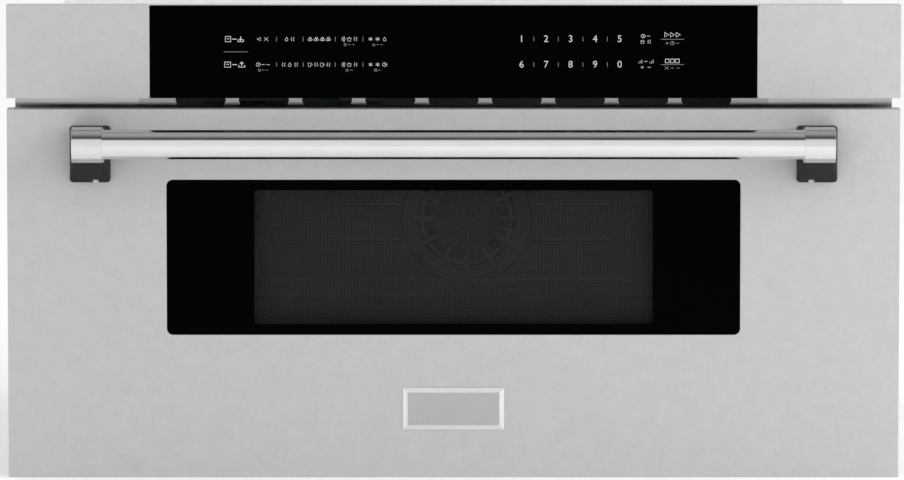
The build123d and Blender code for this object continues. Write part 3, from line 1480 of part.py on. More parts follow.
# ---- Every piece and its name
pieces = {
    "base_plate": base_plate(),
    "side_panel_left": side_panel(-1),
    "side_panel_right": side_panel(1),
    "top_cover": top_cover(),
    "rear_panel": rear_panel(),
    "face_frame": face_frame(),
    "vent_strip": vent_strip(),
    "cavity_wrap": cavity_wrap(),
    "cavity_rear_wall": cavity_rear_wall(),
    "rear_fan_guard": rear_fan_guard(),
    "fan_motor": fan_motor(),
    "circulation_fan": circulation_fan(),
    "stirrer_cover": stirrer_cover(),
    "stirrer": stirrer(),
    "stirrer_motor": stirrer_motor(),
    "waveguide": waveguide(),
    "magnetron": magnetron(),
    "bay_shelf_left": bay_shelf(-1),
    "bay_shelf_right": bay_shelf(1),
    "transformer": transformer(),
    "capacitor": capacitor(),
    "cooling_shroud": cooling_shroud(),
    "cooling_fan": cooling_fan(),
    "power_board": power_board(),
    "oven_lamp": oven_lamp(),
    "control_housing": control_housing(),
    "end_panel_left": end_panel(-1),
    "end_panel_right": end_panel(1),
    "control_glass": control_glass(),
    "drawer_motor": drawer_motor(),
    "drive_bracket": drive_bracket(),
    "pinion": pinion(),
    "rack": rack(),
    "slide_outers": slide_outers(),
    "slide_middle_left": slide_middle(-1),
    "slide_middle_right": slide_middle(1),
    "slide_inner_left": slide_inner(-1),
    "slide_inner_right": slide_inner(1),
    "ball_cages_outer": ball_cages_outer(),
    "ball_cages_inner": ball_cages_inner(),
    "door_angles": door_angles(),
    "interlock_switch": interlock_switch(),
    "switch_plunger": switch_plunger(),
    "interlock_hook": interlock_hook(),
    "cord_gland": cord_gland(),
    "chassis_screws": chassis_screws(),
    "door_skin": door_skin(),
    "door_frame": door_frame(),
    "window_glass": window_glass(),
    "window_mask": window_mask(),
    "door_screen": door_screen(),
    "choke_frame": choke_frame(),
    "choke_cover": choke_cover(),
    "handle_bar": handle_bar(),
    "handle_post_left": handle_post(-1),
    "handle_post_right": handle_post(1),
    "handle_screws": handle_screws(),
    "badge_plate": badge_plate(),
    "tray_pan": tray_pan(),
    "tray_glass": tray_glass(),
}

os.makedirs("parts", exist_ok=True)
for name, shape in pieces.items():
    export_step(shape, f"parts/{name}.step")
print(len(pieces), "pieces")
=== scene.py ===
"""Looks of a built-in microwave oven in a pull-out drawer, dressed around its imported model."""

from __future__ import annotations

import json
import logging
import math
from dataclasses import dataclass
from enum import Enum

import bmesh
import bpy
from mathutils import Matrix, Vector

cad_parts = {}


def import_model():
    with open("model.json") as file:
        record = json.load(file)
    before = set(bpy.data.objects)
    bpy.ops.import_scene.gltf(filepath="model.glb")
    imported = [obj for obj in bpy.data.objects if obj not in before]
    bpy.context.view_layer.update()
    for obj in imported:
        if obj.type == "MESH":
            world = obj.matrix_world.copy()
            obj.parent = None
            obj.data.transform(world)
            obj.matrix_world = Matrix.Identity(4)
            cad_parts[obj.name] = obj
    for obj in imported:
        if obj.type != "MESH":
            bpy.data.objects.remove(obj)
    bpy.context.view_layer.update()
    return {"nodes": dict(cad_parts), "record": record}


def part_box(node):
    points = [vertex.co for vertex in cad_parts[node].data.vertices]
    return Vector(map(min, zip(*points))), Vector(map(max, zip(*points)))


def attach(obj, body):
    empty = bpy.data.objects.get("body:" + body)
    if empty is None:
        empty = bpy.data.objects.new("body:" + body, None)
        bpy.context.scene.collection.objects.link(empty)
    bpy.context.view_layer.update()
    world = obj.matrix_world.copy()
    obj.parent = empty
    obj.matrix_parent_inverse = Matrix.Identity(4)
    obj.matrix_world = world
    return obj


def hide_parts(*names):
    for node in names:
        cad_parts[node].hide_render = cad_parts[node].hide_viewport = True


LOG = logging.getLogger("drawer")
MM = 0.001
WHITE = "#FFFFFF"
GLASS_IOR = 1.52
PLASTIC_IOR = 1.5
CORNER_STEPS = 6
EVEN = (1.0, 1.0, 1.0)

Point = tuple[float, float, float]
Pair = tuple[float, float]
Outline = list[Pair]
Tree = bpy.types.NodeTree
Socket = bpy.types.NodeSocket

MATH, MIX, RANGE = "ShaderNodeMath", "ShaderNodeMix", "ShaderNodeMapRange"
ADD, SUBTRACT, MULTIPLY = {"operation": "ADD"}, {"operation": "SUBTRACT"}, {"operation": "MULTIPLY"}
MAXIMUM = {"operation": "MAXIMUM"}
COLOURS = {"data_type": "RGBA"}
FIRST, SECOND, MIXED = 6, 7, 2  # the Mix node's colour sockets, which share their names


class Body(str, Enum):
    """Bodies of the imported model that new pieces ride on."""

    CHASSIS = "chassis"
    DRAWER = "drawer"


class Slot(str, Enum):
    """Material slots of the record."""

    STAINLESS = "brushed_stainless"
    HANDLE = "handle_stainless"
    SCREW = "bright_screw"
    HOUSING = "housing_steel"
    GALVANISED = "galvanised_steel"
    DOOR_LINER = "door_liner_enamel"
    CAVITY = "cavity_paint"
    BLACK_GLASS = "black_glass"
    TRAY_GLASS = "tray_glass"
    BLACK_PLASTIC = "black_plastic"
    WHITE_PLASTIC = "white_plastic"
    SCREEN = "screen_metal"
    SLIDE = "slide_zinc"
    ACETAL = "acetal"
    MOTOR = "motor_steel"
    ALUMINIUM = "aluminium"
    CORE_IRON = "transformer_iron"
    BOARD = "circuit_board"
    LAMP = "lamp_housing"


# ---- nodes and patterns


@dataclass(frozen=True)
class Swing:
    """How a pattern moves a value: the results at the two ends of the pattern's usual range."""

    pattern: Socket
    low: float
    high: float
    start: float = 0.3
    end: float = 0.7

    @property
    def ends(self) -> dict[str, object]:
        """Inputs of the node that maps the pattern."""
        reach = {"From Min": self.start, "From Max": self.end}
        return {"Value": self.pattern, **reach, "To Min": self.low, "To Max": self.high}


@dataclass(frozen=True)
class Relief:
    """How a pattern raises a surface: by a real depth in millimetres, of which a share shows."""

    pattern: Socket
    depth: float
    share: float

    @property
    def ends(self) -> dict[str, object]:
        """Inputs of the node that tilts the surface."""
        return {"Height": self.pattern, "Distance": self.depth * MM, "Strength": self.share}


def srgb(code: str) -> tuple[float, float, float, float]:
    """Turns an sRGB hex colour to the linear colour that a shader wants.

    Args:
        code: Six hex digits, with or without a leading hash.

    Returns:
        Linear red, green, blue and an alpha of one.
    """
    digits = code.lstrip("#")
    channels = []
    for start in (0, 2, 4):
        value = int(digits[start : start + 2], 16) / 255
        channels.append(value / 12.92 if value <= 0.04045 else ((value + 0.055) / 1.055) ** 2.4)
    return channels[0], channels[1], channels[2], 1.0


def add_node(
    tree: Tree,
    kind: str,
    settings: dict[str, object] | None = None,
    inputs: dict[str | int, object] | None = None,
) -> bpy.types.Node:
    """Adds a shader node with its settings, its socket values and its links.

    Args:
        tree: Node tree that gets the node.
        kind: Blender's name for the node type.
        settings: Properties of the node, by name.
        inputs: What each input gets, as connect takes it.

    Returns:
        The new node.
    """
    node = tree.nodes.new(kind)
    for name, value in (settings or {}).items():
        setattr(node, name, value)
    connect(tree, node, inputs or {})
    return node


def connect(tree: Tree, node: bpy.types.Node, inputs: dict[str | int, object]) -> None:
    """Sets or links input sockets of a node.

    Args:
        tree: Node tree that holds the node.
        node: Node whose inputs they are.
        inputs: For each input a plain value, an output socket, a swing or a relief.
    """
    for name, value in inputs.items():
        if isinstance(value, Swing):
            value = add_node(tree, RANGE, inputs=value.ends).outputs["Result"]
        elif isinstance(value, Relief):
            value = add_node(tree, "ShaderNodeBump", inputs=value.ends).outputs["Normal"]
        if isinstance(value, Socket):
            tree.links.new(value, node.inputs[name])
        else:
            node.inputs[name].default_value = value


def new_material(name: str) -> tuple[bpy.types.Material, Tree, bpy.types.Node]:
    """Makes an empty material with its shader and output.

    Args:
        name: Name of the material.

    Returns:
        The material, its node tree and its Principled shader.
    """
    material = bpy.data.materials.new(name)
    material.use_nodes = True
    tree = material.node_tree
    tree.nodes.clear()
    shader = add_node(tree, "ShaderNodeBsdfPrincipled")
    add_node(tree, "ShaderNodeOutputMaterial", inputs={"Surface": shader.outputs["BSDF"]})
    return material, tree, shader


def position(tree: Tree, turn: Point = (0, 0, 0), repeat: Point = (1, 1, 1)) -> Socket:
    """Gives the surface point in the object's own metres, turned and then divided by a repeat.

    Args:
        tree: Node tree that gets the nodes.
        turn: Rotation of the pattern in degrees.
        repeat: Size of one repeat along each turned axis, in metres.

    Returns:
        The mapped vector socket.
    """
    angles = tuple(math.radians(angle) for angle in turn)
    point = add_node(tree, "ShaderNodeTexCoord").outputs["Object"]
    mapped = {"Vector": point, "Rotation": angles, "Scale": repeat}
    node = add_node(tree, "ShaderNodeMapping", {"vector_type": "TEXTURE"}, mapped)
    return node.outputs["Vector"]


def along_axes(tree: Tree) -> bpy.types.bpy_prop_collection:
    """Gives the surface point's X, Y and Z, each a socket, in the object's own metres."""
    point = add_node(tree, "ShaderNodeTexCoord").outputs["Object"]
    return add_node(tree, "ShaderNodeSeparateXYZ", inputs={"Vector": point}).outputs


def reach_from(tree: Tree, plane: str, middle: Pair) -> Socket:
    """Gives the surface point's distance from a line that crosses a plane squarely.

    Args:
        tree: Node tree that gets the nodes.
        plane: The plane's two axes, such as "YZ".
        middle: Where the line crosses it, in millimetres.

    Returns:
        The distance's socket, in metres.
    """
    parts = along_axes(tree)
    squares = []
    for axis, place in zip(plane, middle):
        away = add_node(tree, MATH, SUBTRACT, {0: parts[axis], 1: place * MM}).outputs[0]
        squares.append(add_node(tree, MATH, MULTIPLY, {0: away, 1: away}).outputs[0])
    both = add_node(tree, MATH, ADD, {0: squares[0], 1: squares[1]}).outputs[0]
    return add_node(tree, MATH, {"operation": "SQRT"}, {0: both}).outputs[0]


def per_metre(millimetres: float) -> float:
    """Pattern repeats in a metre when one repeat is this many millimetres."""
    return 1000.0 / millimetres


def shaded(tree: Tree, colour: str | Socket, *swings: Swing) -> Socket:
    """Gives a colour that patterns lighten and darken together.

    Args:
        tree: Node tree that gets the nodes.
        colour: sRGB hex colour, or the socket of one.
        swings: How each pattern moves a multiplier around one.

    Returns:
        The colour's socket.
    """
    shade: Swing | Socket = swings[0]
    for swing in swings[1:]:
        shade = add_node(tree, MATH, MULTIPLY, {0: shade, 1: swing}).outputs[0]
    inputs = {0: srgb(colour)[:3] if isinstance(colour, str) else colour, "Scale": shade}
    return add_node(tree, "ShaderNodeVectorMath", {"operation": "SCALE"}, inputs).outputs["Vector"]


# ---- patterns


@dataclass(frozen=True)
class Layer:
    """A pattern of real size, and what it does to a surface."""

    size: float  # of one grain or cell, in mm
    shade: Pair | None = None  # what it multiplies the colour by
    blur: Pair | None = None  # what it takes from the roughness, and adds to it
    relief: Pair | None = None  # its depth in mm, and the share of it that shows
    veil: Pair | None = None  # how much it hides of what lies behind
    reach: Pair = (0.3, 0.7)  # the pattern's usual range

    def pattern(self, tree: Tree) -> Socket:
        """Adds the pattern to a tree and gives its value; each kind of layer has its own."""
        raise NotImplementedError


@dataclass(frozen=True)
class Grain(Layer):
    """Random grains, drawn out along the axes, in one or more sets that are mixed evenly."""

    stretch: Point = EVEN  # how many times longer than its size a grain is along each axis
    detail: float = 2.0  # octaves of finer grain
    harsh: float = 0.5  # strength of the finer grain
    turns: tuple[float, ...] = (0.0,)  # each set's rotation seen from the front, in degrees

    def pattern(self, tree: Tree) -> Socket:
        """Mixes the sets.

        Args:
            tree: Node tree that gets the nodes.

        Returns:
            The value, around one half.
        """
        # the scale is one, because the point is divided by the grain's real size along each axis
        repeat = tuple(self.size * length * MM for length in self.stretch)
        inputs = {"Scale": 1.0, "Detail": self.detail, "Roughness": self.harsh}
        sets = []
        for turn in self.turns:
            inputs["Vector"] = position(tree, (0, turn, 0), repeat)
            sets.append(add_node(tree, "ShaderNodeTexNoise", inputs=inputs).outputs["Fac"])
        total = sets[0]
        for one in sets[1:]:
            total = add_node(tree, MATH, ADD, {0: total, 1: one}).outputs[0]
        if len(sets) == 1:
            return total
        return add_node(tree, MATH, MULTIPLY, {0: total, 1: 1 / len(sets)}).outputs[0]


@dataclass(frozen=True)
class Cells(Layer):
    """Cells around points: strewn in space, or the squares of an upright plane."""

    square: bool = False
    own: bool = False  # gives each cell a value of its own, and not the distance from its middle

    def pattern(self, tree: Tree) -> Socket:
        """Divides the surface into cells.

        Args:
            tree: Node tree that gets the nodes.

        Returns:
            The distance from the cell's middle in cell sizes, or the cell's own value.
        """
        # the scale is the number of cells in a metre, from their real size in millimetres
        place = position(tree, (90, 0, 0) if self.square else (0, 0, 0))
        inputs = {"Vector": place, "Scale": per_metre(self.size), "Randomness": 1.0 - self.square}
        settings = {"feature": "F1", "voronoi_dimensions": "2D" if self.square else "3D"}
        found = add_node(tree, "ShaderNodeTexVoronoi", settings, inputs).outputs
        if not self.own:
            return found["Distance"]
        colour = {"Color": found["Color"]}
        return add_node(tree, "ShaderNodeSeparateColor", inputs=colour).outputs["Red"]


@dataclass(frozen=True)
class Bands(Layer):
    """Soft bands, one behind the other in depth."""

    def pattern(self, tree: Tree) -> Socket:
        """Draws the bands.

        Args:
            tree: Node tree that gets the nodes.

        Returns:
            The value, from nought to one.
        """
        # the pattern turns by twenty radians in a unit, so the band's real size gives this scale
        scale = per_metre(self.size) * math.tau / 20
        inputs = {"Vector": position(tree), "Scale": scale, "Distortion": 0.3, "Detail": 1.0}
        return add_node(tree, "ShaderNodeTexWave", {"bands_direction": "Y"}, inputs).outputs["Fac"]


# ---- finishes


@dataclass(frozen=True)
class Finish:
    """A surface finish: what the material is, its colour and how it shines."""

    name: str
    colour: str
    roughness: float
    metal: float = 0.0

    @property
    def layers(self) -> tuple[Layer, ...]:
        """Patterns of the finish; each kind has its own."""
        raise NotImplementedError

    @property
    def fixed(self) -> dict[str, float]:
        """Shader inputs, beside the first three, that are the same all over."""
        return {}

    def material(self) -> bpy.types.Material:
        """Builds the material once and gives it again after that.

        Returns:
            The material.
        """
        found = bpy.data.materials.get(self.name)
        if found is not None:
            return found
        material, tree, shader = new_material(self.name)
        connect(tree, shader, self.look(tree))
        return material

    def look(self, tree: Tree) -> dict[str, object]:
        """Adds the patterns and works out what they make of the surface.

        Args:
            tree: The material's node tree.

        Returns:
            What each input of the shader gets.
        """
        look = {"Roughness": self.roughness, "Metallic": self.metal, **self.fixed}
        shades = []
        for layer in self.layers:
            pattern = layer.pattern(tree)
            if layer.shade is not None:
                shades.append(Swing(pattern, *layer.shade, *layer.reach))
            if layer.blur is not None:
                low, high = self.roughness - layer.blur[0], self.roughness + layer.blur[1]
                look["Roughness"] = Swing(pattern, low, high, *layer.reach)
            if layer.relief is not None:
                look["Normal"] = Relief(pattern, *layer.relief)
            if layer.veil is not None:
                look["Alpha"] = Swing(pattern, *layer.veil, *layer.reach)
        return {"Base Color": shaded(tree, self.colour, *shades), **look}


@dataclass(frozen=True)
class SnowStainless(Finish):
    """Stainless sheet with a fine random scratch texture under a clear lacquer.

    The eye sees a pale, even grey that sparkles a little, with short crossed strokes and soft
    patches a finger wide, and only a blurred glow where a window or lamp is mirrored.
    """

    metal: float = 0.42  # the lacquer over the texture scatters the rest of the light
    stroke: float = 0.9  # real strokes are about 0.1 mm wide; drawn as coarse as they need to show
    stretch: Point = (7.0, 7.0, 1.0)
    turns: Point = (34.0, -38.0, 82.0)
    patch: float = 11.0

    @property
    def layers(self) -> tuple[Layer, ...]:
        """Three sets of crossed strokes, and soft patches."""
        even = {"stretch": self.stretch, "turns": self.turns, "reach": (0.4, 0.6)}
        return (
            Grain(self.stroke, (0.955, 1.04), (0.05, 0.06), (0.03, 0.25), detail=1.5, **even),
            Grain(self.patch, (0.975, 1.02), detail=2.5),
        )


@dataclass(frozen=True)
class LinedStainless(Finish):
    """Stainless steel brushed in one direction and left clean.

    The eye sees fine parallel lines that break up the highlights, and clear bands of light and
    dark where the surface curves.
    """

    metal: float = 1.0
    across: Point = (40.0, 1.0, 1.0)
    line: float = 0.7  # real lines are about 0.05 mm wide; drawn as coarse as they need to show
    mark: float = 24.0

    @property
    def layers(self) -> tuple[Layer, ...]:
        """Long fine lines, and faint handling marks."""
        lines = {"stretch": self.across, "harsh": 0.7}
        return (
            Grain(self.line, (0.95, 1.05), (0.04, 0.05), (0.012, 0.2), **lines),
            Grain(self.mark, (0.98, 1.02), detail=3.0),
        )


@dataclass(frozen=True)
class CastPost(Finish):
    """Cast stainless bracket: polished where it was turned round the bar, rough as cast elsewhere.

    The eye sees a bright round head with fine turning lines on a charcoal neck and foot; the
    charcoal is a painted reflection of the dark surroundings that they mirror.
    """

    # painted reflection: charcoal on the neck and foot, for the dark surroundings they mirror
    dark: str = "#262627"
    dark_roughness: float = 0.6
    dark_mirror: float = 0.08
    axis: Pair = (-88.5, 277.6)  # the bar's, as y and z
    head_radius: float = 15.0
    edge: Pair = (0.05, 0.5)  # past the head, where the dark starts and where it is whole
    line: float = 0.6  # real lines are about 0.1 mm wide; drawn as coarse as they need to show
    sand: float = 1.4

    @property
    def layers(self) -> tuple[Layer, ...]:
        """Turning lines on the head, and sand elsewhere."""
        lines = Grain(self.line, (0.95, 1.04), stretch=(12, 1, 1), harsh=0.7)
        return lines, Grain(self.sand, (0.85, 1.15), relief=(0.02, 0.2), detail=3.0)

    def look(self, tree: Tree) -> dict[str, object]:
        """Chooses between head and neck by the distance from the bar's axis.

        Args:
            tree: The material's node tree.

        Returns:
            What each input of the shader gets.
        """
        start, end = ((self.head_radius + past) * MM for past in self.edge)
        neck = Swing(reach_from(tree, "YZ", self.axis), 0.0, 1.0, start, end)
        # beyond the head: rough cast surface, and the charcoal painted reflection
        cast = add_node(tree, RANGE, inputs=neck.ends).outputs["Result"]
        lines, sand = self.layers
        grit = sand.pattern(tree)
        bright = shaded(tree, self.colour, Swing(lines.pattern(tree), *lines.shade))
        ends = {0: cast, FIRST: bright, SECOND: shaded(tree, self.dark, Swing(grit, *sand.shade))}
        return {
            "Base Color": add_node(tree, MIX, COLOURS, ends).outputs[MIXED],
            "Roughness": Swing(cast, self.roughness, self.dark_roughness, 0.0, 1.0),
            "Metallic": add_node(tree, MATH, SUBTRACT, {0: 1.0, 1: cast}).outputs[0],
            "Specular IOR Level": self.dark_mirror,
            "Normal": Relief(grit, *sand.relief),
        }


@dataclass(frozen=True)
class BevelledPlate(Finish):
    """Small stainless plate: satin face inside a polished bevel.

    The eye sees a fine even satin grey in a bright, sharp frame of four bevels.
    """

    metal: float = 1.0
    satin: str = "#B3B3B2"
    satin_roughness: float = 0.34
    face_y: float = -42.4
    face_depth: float = 0.03
    bevel_depth: float = 0.25
    line: float = 0.8  # real lines are about 0.05 mm wide; drawn as coarse as they need to show

    def look(self, tree: Tree) -> dict[str, object]:
        """Chooses between the satin face and the polished bevel by the depth of the point.

        Args:
            tree: The material's node tree.

        Returns:
            What each input of the shader gets.
        """
        start = self.face_y + self.face_depth
        slope = Swing(along_axes(tree)["Y"], 0.0, 1.0, start * MM, (start + self.bevel_depth) * MM)
        bevel = add_node(tree, RANGE, inputs=slope.ends).outputs["Result"]
        lines = Grain(self.line, stretch=(8, 1, 1), harsh=0.7).pattern(tree)
        face = shaded(tree, self.satin, Swing(lines, 0.92, 1.08))
        ends = {0: bevel, FIRST: face, SECOND: shaded(tree, self.colour, Swing(lines, 0.98, 1.02))}
        return {
            "Base Color": add_node(tree, MIX, COLOURS, ends).outputs[MIXED],
            "Roughness": Swing(bevel, self.satin_roughness, self.roughness, 0.0, 1.0),
            "Metallic": self.metal,
            "Normal": Relief(lines, 0.01, 0.2),
        }


@dataclass(frozen=True)
class SpangledZinc(Finish):
    """Hot-dip galvanised sheet.

    The eye sees a cool grey broken into dull and bright crystals about a centimetre wide, with
    faint grey oxide and a few rolling scratches.
    """

    metal: float = 0.5  # the matt oxide film scatters the rest of the light
    spangle: float = 9.0
    oxide: float = 60.0
    scratch: float = 0.6  # real ones are about 0.1 mm wide; drawn as coarse as they need to show

    @property
    def layers(self) -> tuple[Layer, ...]:
        """Crystals, each with its own brightness and gloss, then oxide and scratches."""
        whole = {"reach": (0, 1), "own": True}
        return (
            Cells(self.spangle, (0.9, 1.08), (0.08, 0.1), (0.01, 0.25), **whole),
            Grain(self.oxide, (0.95, 1.05), detail=4.0),
            Grain(self.scratch, (0.985, 1.015), stretch=(60, 60, 1)),
        )


@dataclass(frozen=True)
class BrightPlate(Finish):
    """Steel with a thin bright plating of zinc, nickel or tin.

    The eye sees a smooth bluish or yellowish metal with soft highlights and faint wear streaks
    where parts slide.
    """

    metal: float = 1.0
    streak: Point = (1.0, 40.0, 1.0)
    wear: float = 0.9  # real streaks are about 0.2 mm wide; drawn as coarse as they need to show
    cloud: float = 14.0

    @property
    def layers(self) -> tuple[Layer, ...]:
        """Wear streaks, and a light clouding."""
        return (
            Grain(self.wear, (0.96, 1.04), relief=(0.01, 0.2), stretch=self.streak),
            Grain(self.cloud, (0.95, 1.04), (0.05, 0.08), detail=3.0),
        )


@dataclass(frozen=True)
class BakedEnamel(Finish):
    """Baked paint or enamel on steel.

    The eye sees an even colour under a soft gloss, a slight orange-peel ripple in the highlights
    and, on the cavity's speckled enamel, fine darker flecks.
    """

    fleck: float = 0.0  # how far the flecks' colour covers the enamel's
    fleck_colour: str = "#55585C"
    fleck_pitch: float = 3.2
    fleck_edge: Pair = (0.12, 0.2)  # where a fleck starts to fade and where it ends, in pitches
    coat: float = 0.2
    coat_roughness: float = 0.12
    cloud: float = 70.0
    ripple: float = 2.6

    @property
    def layers(self) -> tuple[Layer, ...]:
        """A slow drift in tone, and the ripple."""
        ripple = Grain(self.ripple, relief=(0.02, 0.3), detail=1.0)
        return Grain(self.cloud, (0.975, 1.02), detail=3.0), ripple

    @property
    def fixed(self) -> dict[str, float]:
        """The gloss over the colour."""
        return {"Coat Weight": self.coat, "Coat Roughness": self.coat_roughness}

    def look(self, tree: Tree) -> dict[str, object]:
        """Adds the flecks, where there are any.

        Args:
            tree: The material's node tree.

        Returns:
            What each input of the shader gets.
        """
        look = super().look(tree)
        if self.fleck > 0:
            dots = Cells(self.fleck_pitch).pattern(tree)
            mask = Swing(dots, self.fleck, 0.0, *self.fleck_edge)
            ends = {0: mask, FIRST: look["Base Color"], SECOND: srgb(self.fleck_colour)}
            look["Base Color"] = add_node(tree, MIX, COLOURS, ends).outputs[MIXED]
        return look


@dataclass(frozen=True)
class GuardEnamel(BakedEnamel):
    """Speckled enamel on the fan guard, darkened round the rim and in the hub.

    The eye sees a dark line round the rim, where it meets the wall, which is a painted shadow,
    and a dull hub, drawn as a darker disc.
    """

    axis: Pair = (12.0, 167.0)  # the fan's, as x and z
    rim: float = 58.2
    rim_fade: float = 0.8
    rim_shade: float = 0.25
    hub: float = 29.0
    hub_fade: float = 6.0
    hub_shade: float = 0.45

    def look(self, tree: Tree) -> dict[str, object]:
        """Darkens the rim and the hub by their distance from the guard's middle.

        Args:
            tree: The material's node tree.

        Returns:
            What each input of the shader gets.
        """
        look = super().look(tree)
        # painted shadow: the dark line round the rim, where the guard meets the wall; the hub is a
        # darker disc
        reach = reach_from(tree, "XZ", self.axis)
        ends = self.rim * MM, (self.rim + self.rim_fade) * MM
        rim = Swing(reach, 1.0, self.rim_shade, *ends)
        ends = self.hub * MM, (self.hub + self.hub_fade) * MM
        hub = Swing(reach, self.hub_shade, 1.0, *ends)
        return {**look, "Base Color": shaded(tree, look["Base Color"], rim, hub)}


@dataclass(frozen=True)
class Glass(Finish):
    """Glass under a weak mirror, with a trace of wiping haze."""

    mirror: float = 0.1

    @property
    def fixed(self) -> dict[str, float]:
        """How strongly it bends and mirrors light."""
        return {"IOR": GLASS_IOR, "Specular IOR Level": self.mirror}


@dataclass(frozen=True)
class BackPrintedGlass(Glass):
    """Float glass with opaque black printed on its back and polished edges.

    The eye sees a deep, even black that mirrors only at a low angle, with the faintest waviness.
    """

    wipe: float = 90.0

    @property
    def layers(self) -> tuple[Layer, ...]:
        """The haze, which blurs the mirror a little."""
        blur = 0.2 * self.roughness, 0.3 * self.roughness
        return (Grain(self.wipe, (0.9, 1.1), blur, stretch=(3, 1, 1), detail=3.0),)


@dataclass(frozen=True)
class TintedPane(Glass):
    """Clear or tinted glass that is looked through.

    The eye sees what lies behind it, darker, under a weak mirror.
    """

    veil: float = 0.5  # share of what lies behind that it hides
    wipe: float = 60.0

    @property
    def layers(self) -> tuple[Layer, ...]:
        """The haze, which thickens the tint a little."""
        veil = self.veil * 0.97, min(1.0, self.veil * 1.03)
        return (Grain(self.wipe, (0.92, 1.08), veil=veil, stretch=(2, 1, 1), detail=3.0),)


@dataclass(frozen=True)
class TrayPane(TintedPane):
    """Tempered glass lying on the tray's floor.

    The eye sees the enamel below through a faint green cast; the underside, which touches the
    enamel, adds nothing of its own.
    """

    contact: float = 0.05  # how far above its lowest point the glass still touches, in mm

    def look(self, tree: Tree) -> dict[str, object]:
        """Clears the underside, so that only the top and the edges are tinted.

        Args:
            tree: The material's node tree.

        Returns:
            What each input of the shader gets.
        """
        look = super().look(tree)
        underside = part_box("tray_glass")[0][2]
        heights = {0: along_axes(tree)["Z"], 1: underside + self.contact * MM}
        shows = add_node(tree, MATH, {"operation": "GREATER_THAN"}, heights).outputs[0]
        veils = {0: look["Alpha"], 1: shows}
        return {**look, "Alpha": add_node(tree, MATH, MULTIPLY, veils).outputs[0]}


@dataclass(frozen=True)
class PerforatedSheet(Finish):
    """Painted steel sheet punched with rows of small round holes.

    The eye sees a dark veil that what lies behind shows through, evenly dimmed.
    """

    pitch: float = 1.2
    hole: float = 0.47  # radius
    faint: float = 0.22  # the holes are finer than the picture's grain, so their contrast is less
    fade: float = 0.05  # softness of a hole's edge, in pitches
    cloud: float = 30.0

    @property
    def layers(self) -> tuple[Layer, ...]:
        """A round hole in each square of the pitch, and a slow drift in tone."""
        edge = self.hole / self.pitch
        reach = edge - self.fade, edge + self.fade
        holes = Cells(self.pitch, veil=(self.faint, 1 - self.faint), reach=reach, square=True)
        return holes, Grain(self.cloud, (0.9, 1.1))


@dataclass(frozen=True)
class MouldedPlastic(Finish):
    """Injection-moulded plastic with a spark-eroded grain.

    The eye sees a matt, even colour with a fine pebble grain and slightly glossier wear.
    """

    pebble: float = 0.8  # a real pebble is about 0.2 mm wide; drawn as coarse as it needs to show
    cloud: float = 40.0

    @property
    def layers(self) -> tuple[Layer, ...]:
        """The pebble grain, and a slow drift in tone."""
        pebbles = Grain(self.pebble, blur=(0.06, 0.06), relief=(0.05, 0.35))
        return pebbles, Grain(self.cloud, (0.94, 1.05))

    @property
    def fixed(self) -> dict[str, float]:
        """How strongly it bends light."""
        return {"IOR": PLASTIC_IOR}


@dataclass(frozen=True)
class StackedIron(Finish):
    """Transformer core of varnished iron sheets.

    The eye sees dark bands across the stack of sheets and a brown varnish in patches.
    """

    metal: float = 0.6
    band: float = 7.54  # one for some fifteen sheets of 0.5 mm, as coarse as it needs to show
    varnish: float = 12.0

    @property
    def layers(self) -> tuple[Layer, ...]:
        """The bands, and the varnish."""
        bands = Bands(self.band, (0.75, 1.1), relief=(0.15, 0.5), reach=(0, 1))
        return bands, Grain(self.varnish, (0.8, 1.15), detail=4.0)


@dataclass(frozen=True)
class MattSheet(Finish):
    """Ceramic ink printed on glass, and the studio's seamless paper.

    The eye sees a flat soft white, slightly uneven in density, with hardly any shine of its own.
    """

    mottle: float = 1.5
    density: Pair = (0.93, 1.04)
    mirror: float = 0.2

    @property
    def layers(self) -> tuple[Layer, ...]:
        """The unevenness."""
        return (Grain(self.mottle, self.density),)

    @property
    def fixed(self) -> dict[str, float]:
        """The weak shine."""
        return {"Specular IOR Level": self.mirror}


LONG = (30.0, 1.0, 1.0)
POST_STEEL = CastPost("stainless_casting_turned_head", "#DADAD9", 0.16)
BADGE_STEEL = BevelledPlate("stainless_plate_satin_bevelled", "#DEDEDD", 0.12)
VENT_STEEL = LinedStainless("stainless_strip_bright_rolled", "#B0B0B0", 0.09, across=LONG)
LOUVRE_STEEL = LinedStainless("stainless_louvre_bright_rolled", "#989898", 0.09, across=LONG)
SET_SCREW = BrightPlate("set_screw_nickel_plated", "#F4F4F2", 0.5, streak=EVEN)
# the fan wheel is simply coloured dark steel
FAN_STEEL = BrightPlate("fan_wheel_steel_dark", "#3A3938", 0.45, streak=EVEN)
# painted highlight: a lighter, more metallic copy of the galvanised sheet, for the light on the top
# cover
TOP_STEEL = SpangledZinc("galvanised_sheet_painted_highlight", "#D2D5D6", 0.26, metal=0.6)
CAVITY_ENAMEL = BakedEnamel("cavity_enamel_grey_speckled", "#B2B4B2", 0.35, fleck=0.6)
GUARD_ENAMEL = GuardEnamel("fan_guard_enamel_painted_rim_shadow", "#B2B4B2", 0.4, fleck=0.6)
BLACK_GLASS = BackPrintedGlass("float_glass_black_back_print", "#010101", 0.05, mirror=0.012)
CLEAR_PANE = TintedPane("float_glass_grey_tint", "#050505", 0.04, veil=0.1, mirror=0.02)
TRAY_GLASS = TrayPane("tempered_glass_clear_green_edge", "#B8CFC6", 0.06, veil=0.28, mirror=0.5)
SCREEN_STEEL = BakedEnamel("screen_steel_black_painted", "#2A2B2B", 0.5, coat=0.0)
SCREEN_HOLES = PerforatedSheet("screen_steel_black_perforated", "#1C1D1D", 0.5)
MOTOR_STEEL = BrightPlate("motor_can_nickel_plated", "#B0B1AE", 0.33, streak=(1.0, 1.0, 20.0))
